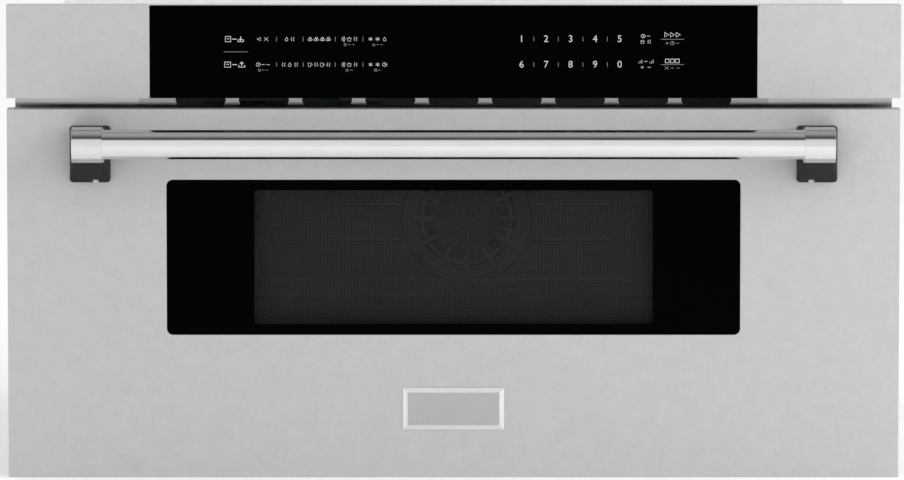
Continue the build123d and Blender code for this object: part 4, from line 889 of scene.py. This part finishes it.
BOARD_GREEN = MouldedPlastic("circuit_board_green_solder_mask", "#1E5A3A", 0.35, pebble=2.4)
FLOOR_PAPER = MattSheet(
    "studio_floor_white_paper", "#F4F4F4", 0.9, mottle=400.0, density=(0.99, 1.01), mirror=0.1
)

SLOT_FINISHES: dict[Slot, Finish] = {
    Slot.STAINLESS: SnowStainless("stainless_snow_texture_lacquered", "#C1C1C1", 0.58),
    Slot.HANDLE: LinedStainless("stainless_bar_fine_brushed", "#DEDEDD", 0.13),
    Slot.SCREW: BrightPlate("steel_screw_zinc_plated", "#C6C8CB", 0.28, streak=EVEN),
    Slot.HOUSING: BakedEnamel("steel_sheet_grey_powder_coat", "#9DA0A1", 0.45, coat=0.1),
    Slot.GALVANISED: SpangledZinc("galvanised_sheet_spangled", "#C2C6C8", 0.4),
    Slot.DOOR_LINER: BakedEnamel("door_liner_grey_baked_enamel", "#8E9193", 0.4),
    Slot.CAVITY: CAVITY_ENAMEL,
    Slot.BLACK_GLASS: BLACK_GLASS,
    Slot.TRAY_GLASS: TRAY_GLASS,
    Slot.BLACK_PLASTIC: MouldedPlastic("abs_black_moulded_grain", "#151516", 0.5),
    Slot.WHITE_PLASTIC: MouldedPlastic("polypropylene_white_moulded", "#D9D8D2", 0.42),
    Slot.SCREEN: SCREEN_STEEL,
    Slot.SLIDE: BrightPlate("steel_rail_blue_zinc_plated", "#BEC4C9", 0.27),
    Slot.ACETAL: MouldedPlastic("acetal_natural_moulded", "#E4E1D6", 0.35, pebble=1.6),
    Slot.MOTOR: MOTOR_STEEL,
    Slot.ALUMINIUM: BrightPlate("aluminium_mill_finish", "#D3D5D6", 0.35),
    Slot.CORE_IRON: StackedIron("transformer_iron_varnished", "#5E5650", 0.5),
    Slot.BOARD: BOARD_GREEN,
    Slot.LAMP: BrightPlate("lamp_housing_aluminised_steel", "#A9ABA8", 0.4),
}

NODE_FINISHES: dict[str, Finish] = {
    "handle_post_left": POST_STEEL,
    "handle_post_right": POST_STEEL,
    "handle_screws": SET_SCREW,
    "badge_plate": BADGE_STEEL,
    "vent_strip": LOUVRE_STEEL,
    "face_frame": VENT_STEEL,
    "top_cover": TOP_STEEL,
    "rear_fan_guard": GUARD_ENAMEL,
    "circulation_fan": FAN_STEEL,
}


def coat(thing: bpy.types.Object, finish: Finish) -> None:
    """Gives an object one finish.

    Args:
        thing: Object to dress.
        finish: Its finish.
    """
    if not thing.data.materials:
        thing.data.materials.append(None)
    for place in thing.material_slots:
        place.material = finish.material()


def dress_nodes(frame: dict[str, dict]) -> None:
    """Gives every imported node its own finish, or that of its material slot.
    """
    for entry in frame["record"]["subparts"]:
        name = entry["node"]
        finish = NODE_FINISHES.get(name, SLOT_FINISHES[Slot(entry["material_slot"])])
        coat(frame["nodes"][name], finish)
        LOG.info("%s dressed in %s", name, finish.name)


# ---- studio


@dataclass(frozen=True)
class Softbox:
    """Rectangular lamp that lens and mirrors don't see, with its place and size in metres."""

    name: str
    place: Point
    size: Pair
    watts: float

    def hang(self, aim: Point) -> None:
        """Hangs the lamp.

        Args:
            aim: Point that it faces, in metres.
        """
        lamp = bpy.data.lights.new(self.name, "AREA")
        lamp.shape = "RECTANGLE"
        lamp.size, lamp.size_y = self.size
        lamp.energy = self.watts
        holder = bpy.data.objects.new(self.name, lamp)
        bpy.context.scene.collection.objects.link(holder)
        way = Vector(aim) - Vector(self.place)
        holder.location = self.place
        holder.rotation_euler = way.to_track_quat("-Z", "Y").to_euler()
        holder.visible_camera = False
        holder.visible_glossy = False


@dataclass
class Studio:
    """White studio: floor, soft lamps, a pale dome and the camera at the photograph's angle."""

    floor_z: float = -11.0
    floor_half: float = 30.0  # in metres
    lamp_aim: Point = (0.0, 0.1, 0.2)
    lamps: tuple[Softbox, ...] = (
        Softbox("lamp_overhead", (0.0, -0.6, 2.8), (2.6, 1.4), 5.0),
        Softbox("lamp_left", (-2.6, -1.8, 1.3), (1.4, 1.4), 0.8),
        Softbox("lamp_right", (2.0, -1.2, 1.1), (1.4, 1.4), 27.0),
    )
    paper_glow: float = 0.10
    fill: float = 0.93
    dome_shades: tuple[tuple[float, str], ...] = (  # from the level up to the zenith
        (0.0, WHITE),
        (0.60, "#F4F4F4"),
        (0.67, "#747474"),
        (0.76, "#2C2C2C"),
        (0.84, "#626262"),
        (0.91, "#888888"),
        (1.0, "#B0B0B0"),
    )
    distance: float = 6000.0
    elevation: float = 5.5
    frame_width: float = 768.8  # how wide the picture is at the aim
    aim: Point = (-1.3, -40.5, 192.3)
    sensor: float = 36.0
    sight: float = 100.0  # in metres

    def build(self) -> None:
        """Builds the floor, the dome, the lamps and the camera."""
        self.floor()
        self.dome()
        for lamp in self.lamps:
            lamp.hang(self.lamp_aim)
            LOG.info("%s hung", lamp.name)
        self.camera()

    def floor(self) -> None:
        """Lays a large pale floor under the door's lower edge."""
        half, z = self.floor_half, self.floor_z * MM
        corners = [(-half, -half, z), (half, -half, z), (half, half, z), (-half, half, z)]
        mesh = bpy.data.meshes.new("studio_floor")
        mesh.from_pydata(corners, [], [(0, 1, 2, 3)])
        floor = bpy.data.objects.new("studio_floor", mesh)
        bpy.context.scene.collection.objects.link(floor)
        mesh.materials.append(self.paper())
        LOG.info("%s laid", floor.name)

    def paper(self) -> bpy.types.Material:
        """Lifts the paper towards white for the rays that show it as the background.

        Returns:
            The paper's material.
        """
        material = FLOOR_PAPER.material()
        tree = material.node_tree
        plain = tree.nodes["Principled BSDF"].outputs["BSDF"]
        light = {"Color": srgb(WHITE), "Strength": self.paper_glow}
        glow = add_node(tree, "ShaderNodeEmission", inputs=light).outputs["Emission"]
        lit = add_node(tree, "ShaderNodeAddShader", inputs={0: plain, 1: glow}).outputs["Shader"]
        ends = {0: self.background_ray(tree), 1: plain, 2: lit}
        both = add_node(tree, "ShaderNodeMixShader", inputs=ends).outputs["Shader"]
        connect(tree, tree.nodes["Material Output"], {"Surface": both})
        return material

    def background_ray(self, tree: Tree) -> Socket:
        """Gives one for a ray from the lens, from a mirroring surface or through glass.

        Args:
            tree: Node tree that gets the nodes.

        Returns:
            The socket, which is nought for every other ray.
        """
        rays = add_node(tree, "ShaderNodeLightPath").outputs
        bent = {0: rays["Is Glossy Ray"], 1: rays["Is Transmission Ray"]}
        either = add_node(tree, MATH, MAXIMUM, bent).outputs[0]
        return add_node(tree, MATH, MAXIMUM, {0: rays["Is Camera Ray"], 1: either}).outputs[0]

    def dome(self) -> None:
        """Surrounds the scene with one dome, for lens, metal and glass: white, with a dark band."""
        world = bpy.data.worlds.new("studio_dome")
        bpy.context.scene.world = world
        world.use_nodes = True
        tree = world.node_tree
        tree.nodes.clear()
        way = add_node(tree, "ShaderNodeTexCoord").outputs["Generated"]
        up = add_node(tree, "ShaderNodeSeparateXYZ", inputs={"Vector": way}).outputs["Z"]
        height = add_node(tree, MATH, MAXIMUM, {0: up, 1: 0.0}).outputs[0]
        shades = add_node(tree, "ShaderNodeValToRGB", inputs={"Fac": height})
        stops = shades.color_ramp.elements
        while len(stops) < len(self.dome_shades):
            stops.new(0.5)
        for stop, (place, code) in zip(stops, self.dome_shades):
            stop.position = place
            stop.color = srgb(code)
        kind = "ShaderNodeBackground"
        fill = add_node(tree, kind, inputs={"Color": srgb(WHITE), "Strength": self.fill})
        seen = add_node(tree, kind, inputs={"Color": shades.outputs["Color"], "Strength": 1.0})
        ends = {0: self.background_ray(tree), 1: fill.outputs[0], 2: seen.outputs[0]}
        both = add_node(tree, "ShaderNodeMixShader", inputs=ends).outputs["Shader"]
        add_node(tree, "ShaderNodeOutputWorld", inputs={"Surface": both})
        LOG.info("%s raised", world.name)

    def camera(self) -> None:
        """Sets up the long lens that the photograph's flat perspective needs."""
        data = bpy.data.cameras.new("photo_camera")
        data.sensor_width = self.sensor
        data.lens = self.sensor * self.distance / self.frame_width
        data.clip_end = self.sight
        holder = bpy.data.objects.new("photo_camera", data)
        bpy.context.scene.collection.objects.link(holder)
        angle = math.radians(self.elevation)
        aim = Vector(self.aim) * MM
        reach = self.distance * MM
        holder.location = aim + Vector((0, -math.cos(angle) * reach, math.sin(angle) * reach))
        holder.rotation_euler = (aim - holder.location).to_track_quat("-Z", "Y").to_euler()
        bpy.context.scene.camera = holder
        bpy.context.scene.view_settings.view_transform = "Standard"
        LOG.info("%s aimed", holder.name)


# ---- mesh makers


def arc(x: float, z: float, radius: float, start: float, end: float, steps: int = 10) -> Outline:
    """Gives the points of an arc, with its angles in degrees."""
    angles = [math.radians(start + (end - start) * step / steps) for step in range(steps + 1)]
    return [(x + radius * math.cos(angle), z + radius * math.sin(angle)) for angle in angles]


@dataclass(frozen=True)
class Rounded:
    """Rounded rectangle that stands upright and faces the front, in millimetres."""

    width: float
    height: float
    corner: float
    middle: Pair

    def inset(self, edge: float) -> Rounded:
        """Gives the rectangle that lies inside this one by an even edge."""
        sizes = self.width - 2 * edge, self.height - 2 * edge, self.corner - edge
        return Rounded(*sizes, self.middle)

    def loop(self, y: float) -> list[Point]:
        """Gives its outline.

        Args:
            y: Depth at which it stands.

        Returns:
            The closed loop's points, as many for every size.
        """
        points = []
        for number, (across, up) in enumerate(((1, 1), (-1, 1), (-1, -1), (1, -1))):
            x = self.middle[0] + across * (self.width / 2 - self.corner)
            z = self.middle[1] + up * (self.height / 2 - self.corner)
            points += arc(x, z, self.corner, 90 * number, 90 * (number + 1), CORNER_STEPS)
        return [(x, y, z) for x, z in points]


def skin_shapes(
    name: str,
    body: Body,
    shapes: list[list[list[Point]]],
    finishes: list[Finish],
    bands: list[int],
) -> bpy.types.Object:
    """Makes a piece of closed shapes, each of loops joined in order and capped at both ends.

    Args:
        name: Name of the piece.
        body: Body that it rides on.
        shapes: Each shape's loops, of equally many points in millimetres.
        finishes: The piece's finishes.
        bands: Which finish each face band has: first cap, every strip, last cap.

    Returns:
        The new piece.
    """
    mesh = bmesh.new()
    for loops in shapes:
        rings = [[mesh.verts.new(Vector(point) * MM) for point in loop] for loop in loops]
        mesh.faces.new(rings[0]).material_index = bands[0]
        for first, second, band in zip(rings, rings[1:], bands[1:-1]):
            for here in range(len(first)):
                after = (here + 1) % len(first)
                face = mesh.faces.new((first[here], first[after], second[after], second[here]))
                face.material_index = band
        mesh.faces.new(list(reversed(rings[-1]))).material_index = bands[-1]
    bmesh.ops.recalc_face_normals(mesh, faces=mesh.faces)
    return place_mesh(name, body, mesh, finishes)


def place_mesh(
    name: str, body: Body, mesh: bmesh.types.BMesh, finishes: list[Finish]
) -> bpy.types.Object:
    """Turns a finished mesh into a piece that rides on a body.

    Args:
        name: Name of the piece.
        body: Body that it rides on.
        mesh: The mesh, which is freed.
        finishes: Finishes in the order of the mesh's material numbers.

    Returns:
        The new piece.
    """
    data = bpy.data.meshes.new(name)
    mesh.to_mesh(data)
    mesh.free()
    piece = bpy.data.objects.new(name, data)
    bpy.context.scene.collection.objects.link(piece)
    for finish in finishes:
        data.materials.append(finish.material())
    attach(piece, body.value)
    LOG.info("%s placed on the %s", name, body.value)
    return piece


# ---- control panel


class Ink(Enum):
    """Strength of a printed mark: its finish and half the width of its line in millimetres."""

    STRONG = (MattSheet("ceramic_ink_white", "#E6E6E6", 0.6), 0.30)
    PLAIN = (MattSheet("ceramic_ink_pale_grey", "#C4C4C4", 0.6), 0.24)
    FAINT = (MattSheet("ceramic_ink_mid_grey", "#8A8A8A", 0.6), 0.21)

    def __init__(self, finish: Finish, half_line: float) -> None:
        """Names the two values."""
        self.finish = finish
        self.half_line = half_line


def wisp(x: float) -> Outline:
    """Gives one wavy line that rises through the unit square."""
    return [(x, 0.0), (x + 0.15, 0.25), (x - 0.05, 0.5), (x + 0.15, 0.75), (x, 1.0)]


def rectangle(left: float, low: float, right: float, high: float) -> Outline:
    """Gives a closed upright rectangle."""
    return [(left, low), (left, high), (right, high), (right, low), (left, low)]


OPEN_TRAY = [(0.0, 0.4), (0.0, 0.0), (1.0, 0.0), (1.0, 0.4)]

# each glyph's lines in a unit square
GLYPHS: dict[str, list[Outline]] = {
    "clock": [arc(0.5, 0.5, 0.48, 0, 360, 16), [(0.5, 0.85), (0.5, 0.5), (0.75, 0.4)]],
    "out": [[(0.5, 1.0), (0.5, 0.25)], [(0.22, 0.52), (0.5, 0.22), (0.78, 0.52)], OPEN_TRAY],
    "in": [[(0.5, 0.22), (0.5, 1.0)], [(0.22, 0.7), (0.5, 1.0), (0.78, 0.7)], OPEN_TRAY],
    "drawer": [rectangle(0.0, 0.0, 1.0, 1.0), [(0.3, 0.55), (0.7, 0.55)]],
    "steam": [wisp(0.2), wisp(0.7)],
    "flake": [[(0.5, 0.0), (0.5, 1.0)], [(0.07, 0.25), (0.93, 0.75)], [(0.07, 0.75), (0.93, 0.25)]],
    "puff": [
        arc(0.3, 0.32, 0.28, 0, 360),
        arc(0.72, 0.34, 0.24, 0, 360),
        arc(0.5, 0.74, 0.24, 0, 360),
    ],
    "cup": [
        [(0.05, 0.9), (0.15, 0.0), (0.65, 0.0), (0.75, 0.9), (0.05, 0.9)],
        arc(0.78, 0.5, 0.2, -80, 80, 6),
    ],
    "drop": [
        [(0.5, 1.0), (0.22, 0.45)],
        [(0.5, 1.0), (0.78, 0.45)],
        arc(0.5, 0.32, 0.31, 155, 385),
    ],
    "waves": [
        arc(0.0, 0.5, 0.35, -50, 50, 6),
        arc(0.0, 0.5, 0.65, -50, 50, 6),
        arc(0.0, 0.5, 0.95, -45, 45, 6),
    ],
    "again": [arc(0.5, 0.5, 0.42, 30, 330, 12), [(0.6, 0.75), (0.88, 0.72), (0.9, 1.0)]],
    "scale": [
        [(0.0, 0.0), (0.2, 0.75), (0.8, 0.75), (1.0, 0.0), (0.0, 0.0)],
        [(0.5, 0.25), (0.65, 0.55)],
    ],
    "bars": [[(0.1, 0.0), (0.1, 0.3)], [(0.5, 0.0), (0.5, 0.65)], [(0.9, 0.0), (0.9, 1.0)]],
    "start": [[(0.1, 0.0), (0.1, 1.0), (0.95, 0.5), (0.1, 0.0)]],
    "stop": [rectangle(0.08, 0.08, 0.92, 0.92)],
    "cross": [[(0.05, 0.05), (0.95, 0.95)], [(0.05, 0.95), (0.95, 0.05)]],
    "plus": [[(0.5, 0.1), (0.5, 0.9)], [(0.1, 0.5), (0.9, 0.5)]],
    "speaker": [
        [(0.0, 0.35), (0.0, 0.65), (0.3, 0.65), (0.7, 1.0), (0.7, 0.0), (0.3, 0.35), (0.0, 0.35)]
    ],
    "pot": [
        [(0.0, 0.7), (1.0, 0.7)],
        [(0.12, 0.7), (0.18, 0.0), (0.82, 0.0), (0.88, 0.7)],
        [(0.4, 0.95), (0.6, 0.95)],
    ],
    "dash": [[(0.1, 0.5), (0.9, 0.5)]],
}


@dataclass(frozen=True)
class KeyMark:
    """A row of small pictograms printed for one touch key, in millimetres."""

    glyphs: tuple[str, ...]
    x: float
    z: float
    width: float
    height: float
    ink: Ink
    fill: float = 0.86  # share of its place that a glyph takes
    widest: float = 1.15  # a glyph's greatest width, in heights

    def strokes(self) -> list[Outline]:
        """Places the pictograms side by side.

        Returns:
            Their lines in millimetres, as x and z.
        """
        step = self.width / len(self.glyphs)
        size = min(step * self.fill, self.height * self.widest)
        low = self.z - self.height / 2
        lines = []
        for number, name in enumerate(self.glyphs):
            left = self.x - self.width / 2 + (number + 0.5) * step - size / 2
            for line in GLYPHS[name]:
                lines.append([(left + size * x, low + self.height * z) for x, z in line])
        return lines


@dataclass
class ControlPanel:
    """Black glass with printed touch keys: numbers, pictograms and thin dividers."""

    glass_y: float = -40.5
    upper_row: float = 363.5
    lower_row: float = 341.8
    below: float = 4.7
    digits: tuple[str, str] = ("12345", "67890")
    digit_first_x: float = 57.7
    digit_pitch: float = 20.8
    digit_height: float = 5.9
    digit_share: float = 0.72  # a digit's height in the font's size
    divider_height: float = 3.8
    left_dividers: tuple[float, ...] = (-150.2, -127.6, -100.3, -76.9)
    left_rule: Pair = (-194.9, -174.5)
    right_rule: Pair = (175.9, 195.4)
    right_rule_drop: float = 0.2
    proud: float = 0.06

    def build(self) -> None:
        """Prints all the marks, one piece for each strength of ink, and the digits."""
        lines: dict[Ink, list[Outline]] = {ink: [] for ink in Ink}
        for mark in self.key_marks():
            lines[mark.ink] += mark.strokes()
        lines[Ink.FAINT] += self.dividers()
        for ink, strokes in lines.items():
            self.print_lines(f"key_marks_{ink.name.lower()}", strokes, ink)
        self.print_numbers()

    def dividers(self) -> list[Outline]:
        """Draws the upright dividers between keys and the level rules between rows.

        Returns:
            Their lines in millimetres, as x and z.
        """
        half = self.divider_height / 2
        between = [number + 0.5 for number in range(len(self.digits[0]) - 1)]
        places = [self.digit_first_x + number * self.digit_pitch for number in between]
        lines = []
        for row in (self.upper_row, self.lower_row):
            lines += [[(x, row - half), (x, row + half)] for x in (*self.left_dividers, *places)]
        left, right = self.left_rule, self.right_rule
        middle = (self.upper_row + self.lower_row) / 2
        upper = self.upper_row - self.right_rule_drop
        rules = (left, middle), (right, upper), (right, self.lower_row)
        return lines + [[(rule[0], z), (rule[1], z)] for rule, z in rules]

    def key_marks(self) -> list[KeyMark]:
        """Lists the touch keys' pictograms.

        Returns:
            A mark for each line of a key.
        """
        upper, lower = self.upper_row, self.lower_row
        upper_note, lower_note = upper - self.below, lower - self.below
        rows = (
            ("drawer dash out", -185.9, upper, 16.0, 4.4, Ink.STRONG),
            ("drawer dash in", -185.7, lower, 18.0, 4.4, Ink.STRONG),
            ("speaker cross", -161.7, upper, 11.0, 3.3, Ink.PLAIN),
            ("drop steam", -139.1, upper, 10.0, 3.3, Ink.PLAIN),
            ("puff puff puff puff", -113.8, upper, 20.6, 3.3, Ink.PLAIN),
            ("waves pot steam", -88.5, upper, 16.0, 3.3, Ink.PLAIN),
            ("flake flake drop", -64.4, upper, 18.0, 3.3, Ink.PLAIN),
            ("again dash dash", -88.5, upper_note, 10.0, 2.2, Ink.FAINT),
            ("scale dash dash", -64.4, upper_note, 10.0, 2.2, Ink.FAINT),
            ("clock dash dash", -161.5, lower, 12.5, 3.3, Ink.PLAIN),
            ("steam drop steam", -138.9, lower, 16.0, 3.3, Ink.PLAIN),
            ("cup steam cup steam", -114.0, lower, 20.6, 3.3, Ink.PLAIN),
            ("waves pot steam", -88.5, lower, 16.0, 3.3, Ink.PLAIN),
            ("flake flake clock", -64.4, lower, 18.0, 3.3, Ink.PLAIN),
            ("pot dash dash", -161.5, lower_note, 9.5, 2.2, Ink.FAINT),
            ("pot dash", -88.5, lower_note, 7.5, 2.2, Ink.FAINT),
            ("clock dash", -64.4, lower_note, 6.5, 2.2, Ink.FAINT),
            ("clock dash", 163.1, upper + 2.5, 9.3, 3.0, Ink.PLAIN),
            ("pot steam", 163.1, upper - 2.2, 11.3, 3.0, Ink.PLAIN),
            ("bars dash bars", 163.1, lower + 2.6, 14.4, 3.0, Ink.PLAIN),
            ("plus dash", 163.1, lower - 2.3, 11.9, 3.0, Ink.PLAIN),
            ("start start start", 185.6, upper + 3.7, 14.6, 3.8, Ink.STRONG),
            ("plus clock dash", 185.6, upper - 3.5, 13.4, 3.0, Ink.FAINT),
            ("stop stop stop", 185.6, lower + 3.1, 13.0, 3.8, Ink.STRONG),
            ("cross dash dash", 185.6, lower - 2.9, 14.4, 3.0, Ink.FAINT),
        )
        return [KeyMark(tuple(names.split()), *rest) for names, *rest in rows]

    def print_lines(self, name: str, strokes: list[Outline], ink: Ink) -> None:
        """Prints lines on the glass as one piece, flattened to the thickness of ink.

        Args:
            name: Name of the piece.
            strokes: Lines in millimetres, as x and z.
            ink: Strength of the mark.
        """
        curve = bpy.data.curves.new(name, "CURVE")
        curve.dimensions = "3D"
        curve.bevel_depth = ink.half_line * MM
        curve.bevel_resolution = 1
        curve.use_fill_caps = True
        for stroke in strokes:
            spline = curve.splines.new("POLY")
            closed = stroke[0] == stroke[-1]
            points = stroke[:-1] if closed else stroke
            spline.points.add(len(points) - 1)
            spline.use_cyclic_u = closed
            for point, (x, z) in zip(spline.points, points):
                point.co = (x * MM, self.glass_y * MM, z * MM, 1.0)
        self.settle(name, curve, self.proud / ink.half_line, ink)

    def print_numbers(self) -> None:
        """Prints the ten plain digits in two rows."""
        for row, digits in zip((self.upper_row, self.lower_row), self.digits):
            for number, digit in enumerate(digits):
                name = f"digit_{digit}"
                curve = bpy.data.curves.new(name, "FONT")
                curve.body = digit
                curve.size = self.digit_height * MM / self.digit_share
                curve.align_x = "CENTER"
                curve.align_y = "CENTER"
                curve.extrude = self.proud * MM
                x = self.digit_first_x + number * self.digit_pitch
                self.settle(name, curve, 1.0, Ink.PLAIN, Vector((x, self.glass_y, row)) * MM)

    def settle(
        self,
        name: str,
        curve: bpy.types.Curve,
        flatten: float,
        ink: Ink,
        place: Vector | None = None,
    ) -> None:
        """Turns a curve or a digit into a mesh that lies on the glass.

        Args:
            name: Name of the piece.
            curve: The curve, which is removed.
            flatten: How much its depth is scaled.
            ink: Strength of the mark.
            place: Where a digit's centre goes, for one drawn lying down.
        """
        holder = bpy.data.objects.new(name + "_line", curve)
        data = bpy.data.meshes.new_from_object(holder)
        if place is not None:
            data.transform(Matrix.Translation(place) @ Matrix.Rotation(math.radians(90), 4, "X"))
        plane = self.glass_y * MM
        for vertex in data.vertices:
            vertex.co.y = plane + (vertex.co.y - plane) * flatten
        bpy.data.objects.remove(holder)
        bpy.data.curves.remove(curve)
        mesh = bmesh.new()
        mesh.from_mesh(data)
        bpy.data.meshes.remove(data)
        for face in mesh.faces:
            face.material_index = 0
        place_mesh(name, Body.CHASSIS, mesh, [ink.finish])


# ---- window


@dataclass
class Window:
    """Window in the door: pane with a black printed border, and the metal screen behind it."""

    width: float = 487.3
    height: float = 131.9
    corner: float = 5.0
    bevel: float = 0.3
    middle: Pair = (0.0, 177.45)
    view_width: float = 339.0
    view_height: float = 114.5
    view_corner: float = 1.0
    front_y: float = -40.5
    back_y: float = -36.5
    screen_corner: float = 2.0
    holes_margin: float = 12.0  # by how much the perforated part is larger than the view

    def build(self) -> None:
        """Builds the pane and the screen."""
        self.pane()
        self.screen()

    def pane(self) -> None:
        """Makes the pane as one closed slab with a clear middle in a printed border."""
        view = Rounded(self.view_width, self.view_height, self.view_corner, self.middle)
        whole = Rounded(self.width, self.height, self.corner, self.middle)
        loops = [
            view.loop(self.front_y),
            whole.inset(self.bevel).loop(self.front_y),
            whole.loop(self.front_y + self.bevel),
            whole.loop(self.back_y),
            view.loop(self.back_y),
        ]
        finishes = [BLACK_GLASS, CLEAR_PANE]
        pane = skin_shapes("window_pane", Body.DRAWER, [loops], finishes, [1, 0, 0, 0, 0, 1])
        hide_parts("window_glass")

    def screen(self) -> None:
        """Makes the steel screen: a solid plate with a finely perforated middle."""
        low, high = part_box("door_screen")
        front, back = low[1] / MM, high[1] / MM
        sizes = (high[0] - low[0]) / MM, (high[2] - low[2]) / MM
        centre = (high[0] + low[0]) / 2 / MM, (high[2] + low[2]) / 2 / MM
        plate = Rounded(*sizes, self.screen_corner, centre)
        sizes = self.view_width + self.holes_margin, self.view_height + self.holes_margin
        holes = Rounded(*sizes, self.screen_corner, self.middle)
        loops = [holes.loop(front), plate.loop(front), plate.loop(back), holes.loop(back)]
        finishes = [SCREEN_STEEL, SCREEN_HOLES]
        screen = skin_shapes("screen_plate", Body.DRAWER, [loops], finishes, [1, 0, 0, 0, 1])
        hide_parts("door_screen")


# ---- cavity


@dataclass
class RearWall:
    """Pressed beads that stiffen the cavity's rear wall on each side of the fan guard."""

    spans: tuple[Pair, ...] = ((-100.4, -50.0), (73.8, 142.6))
    heights: tuple[float, ...] = (179.7, 147.5)
    bead_width: float = 3.4
    bead_rise: float = 0.8
    # the bead's section from inside the wall to the crown: inset in mm, and share of the rise
    section: tuple[Pair, ...] = ((0.0, -0.3), (0.0, 0.0), (0.35, 0.5), (0.9, 0.85), (1.5, 1.0))

    def build(self) -> None:
        """Raises the four beads on the wall's front face, as one piece."""
        wall_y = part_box("cavity_rear_wall")[0][1] / MM
        places = [(*span, height) for span in self.spans for height in self.heights]
        shapes = [self.bead(*place, wall_y) for place in places]
        bands = [0] * (len(self.section) + 1)
        beads = skin_shapes("rear_wall_beads", Body.CHASSIS, shapes, [CAVITY_ENAMEL], bands)

    def bead(self, left: float, right: float, height: float, wall_y: float) -> list[list[Point]]:
        """Gives one bead with rounded ends and a rounded crown.

        Args:
            left: Its left end in millimetres.
            right: Its right end.
            height: Height of its middle line.
            wall_y: Depth of the wall's front face.

        Returns:
            Its loops from inside the wall to the crown.
        """
        start, end = left + self.bead_width / 2, right - self.bead_width / 2
        loops = []
        for inset, rise in self.section:
            half = self.bead_width / 2 - inset
            outline = arc(end, height, half, -90, 90, CORNER_STEPS)
            outline += arc(start, height, half, 90, 270, CORNER_STEPS)
            y = wall_y - rise * self.bead_rise
            loops.append([(x, y, z) for x, z in outline])
        return loops


# ---- main


def main() -> None:
    """Builds the studio and dresses the model piece by piece."""
    logging.basicConfig(level=logging.INFO, format="%(name)s: %(message)s")
    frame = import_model()
    Studio().build()
    LOG.info("studio built")
    dress_nodes(frame)
    LOG.info("%d nodes dressed", len(frame["nodes"]))
    ControlPanel().build()
    LOG.info("control panel printed")
    Window().build()
    LOG.info("window built")
    RearWall().build()
    LOG.info("rear wall beads pressed")


if __name__ == "__main__":
    main()
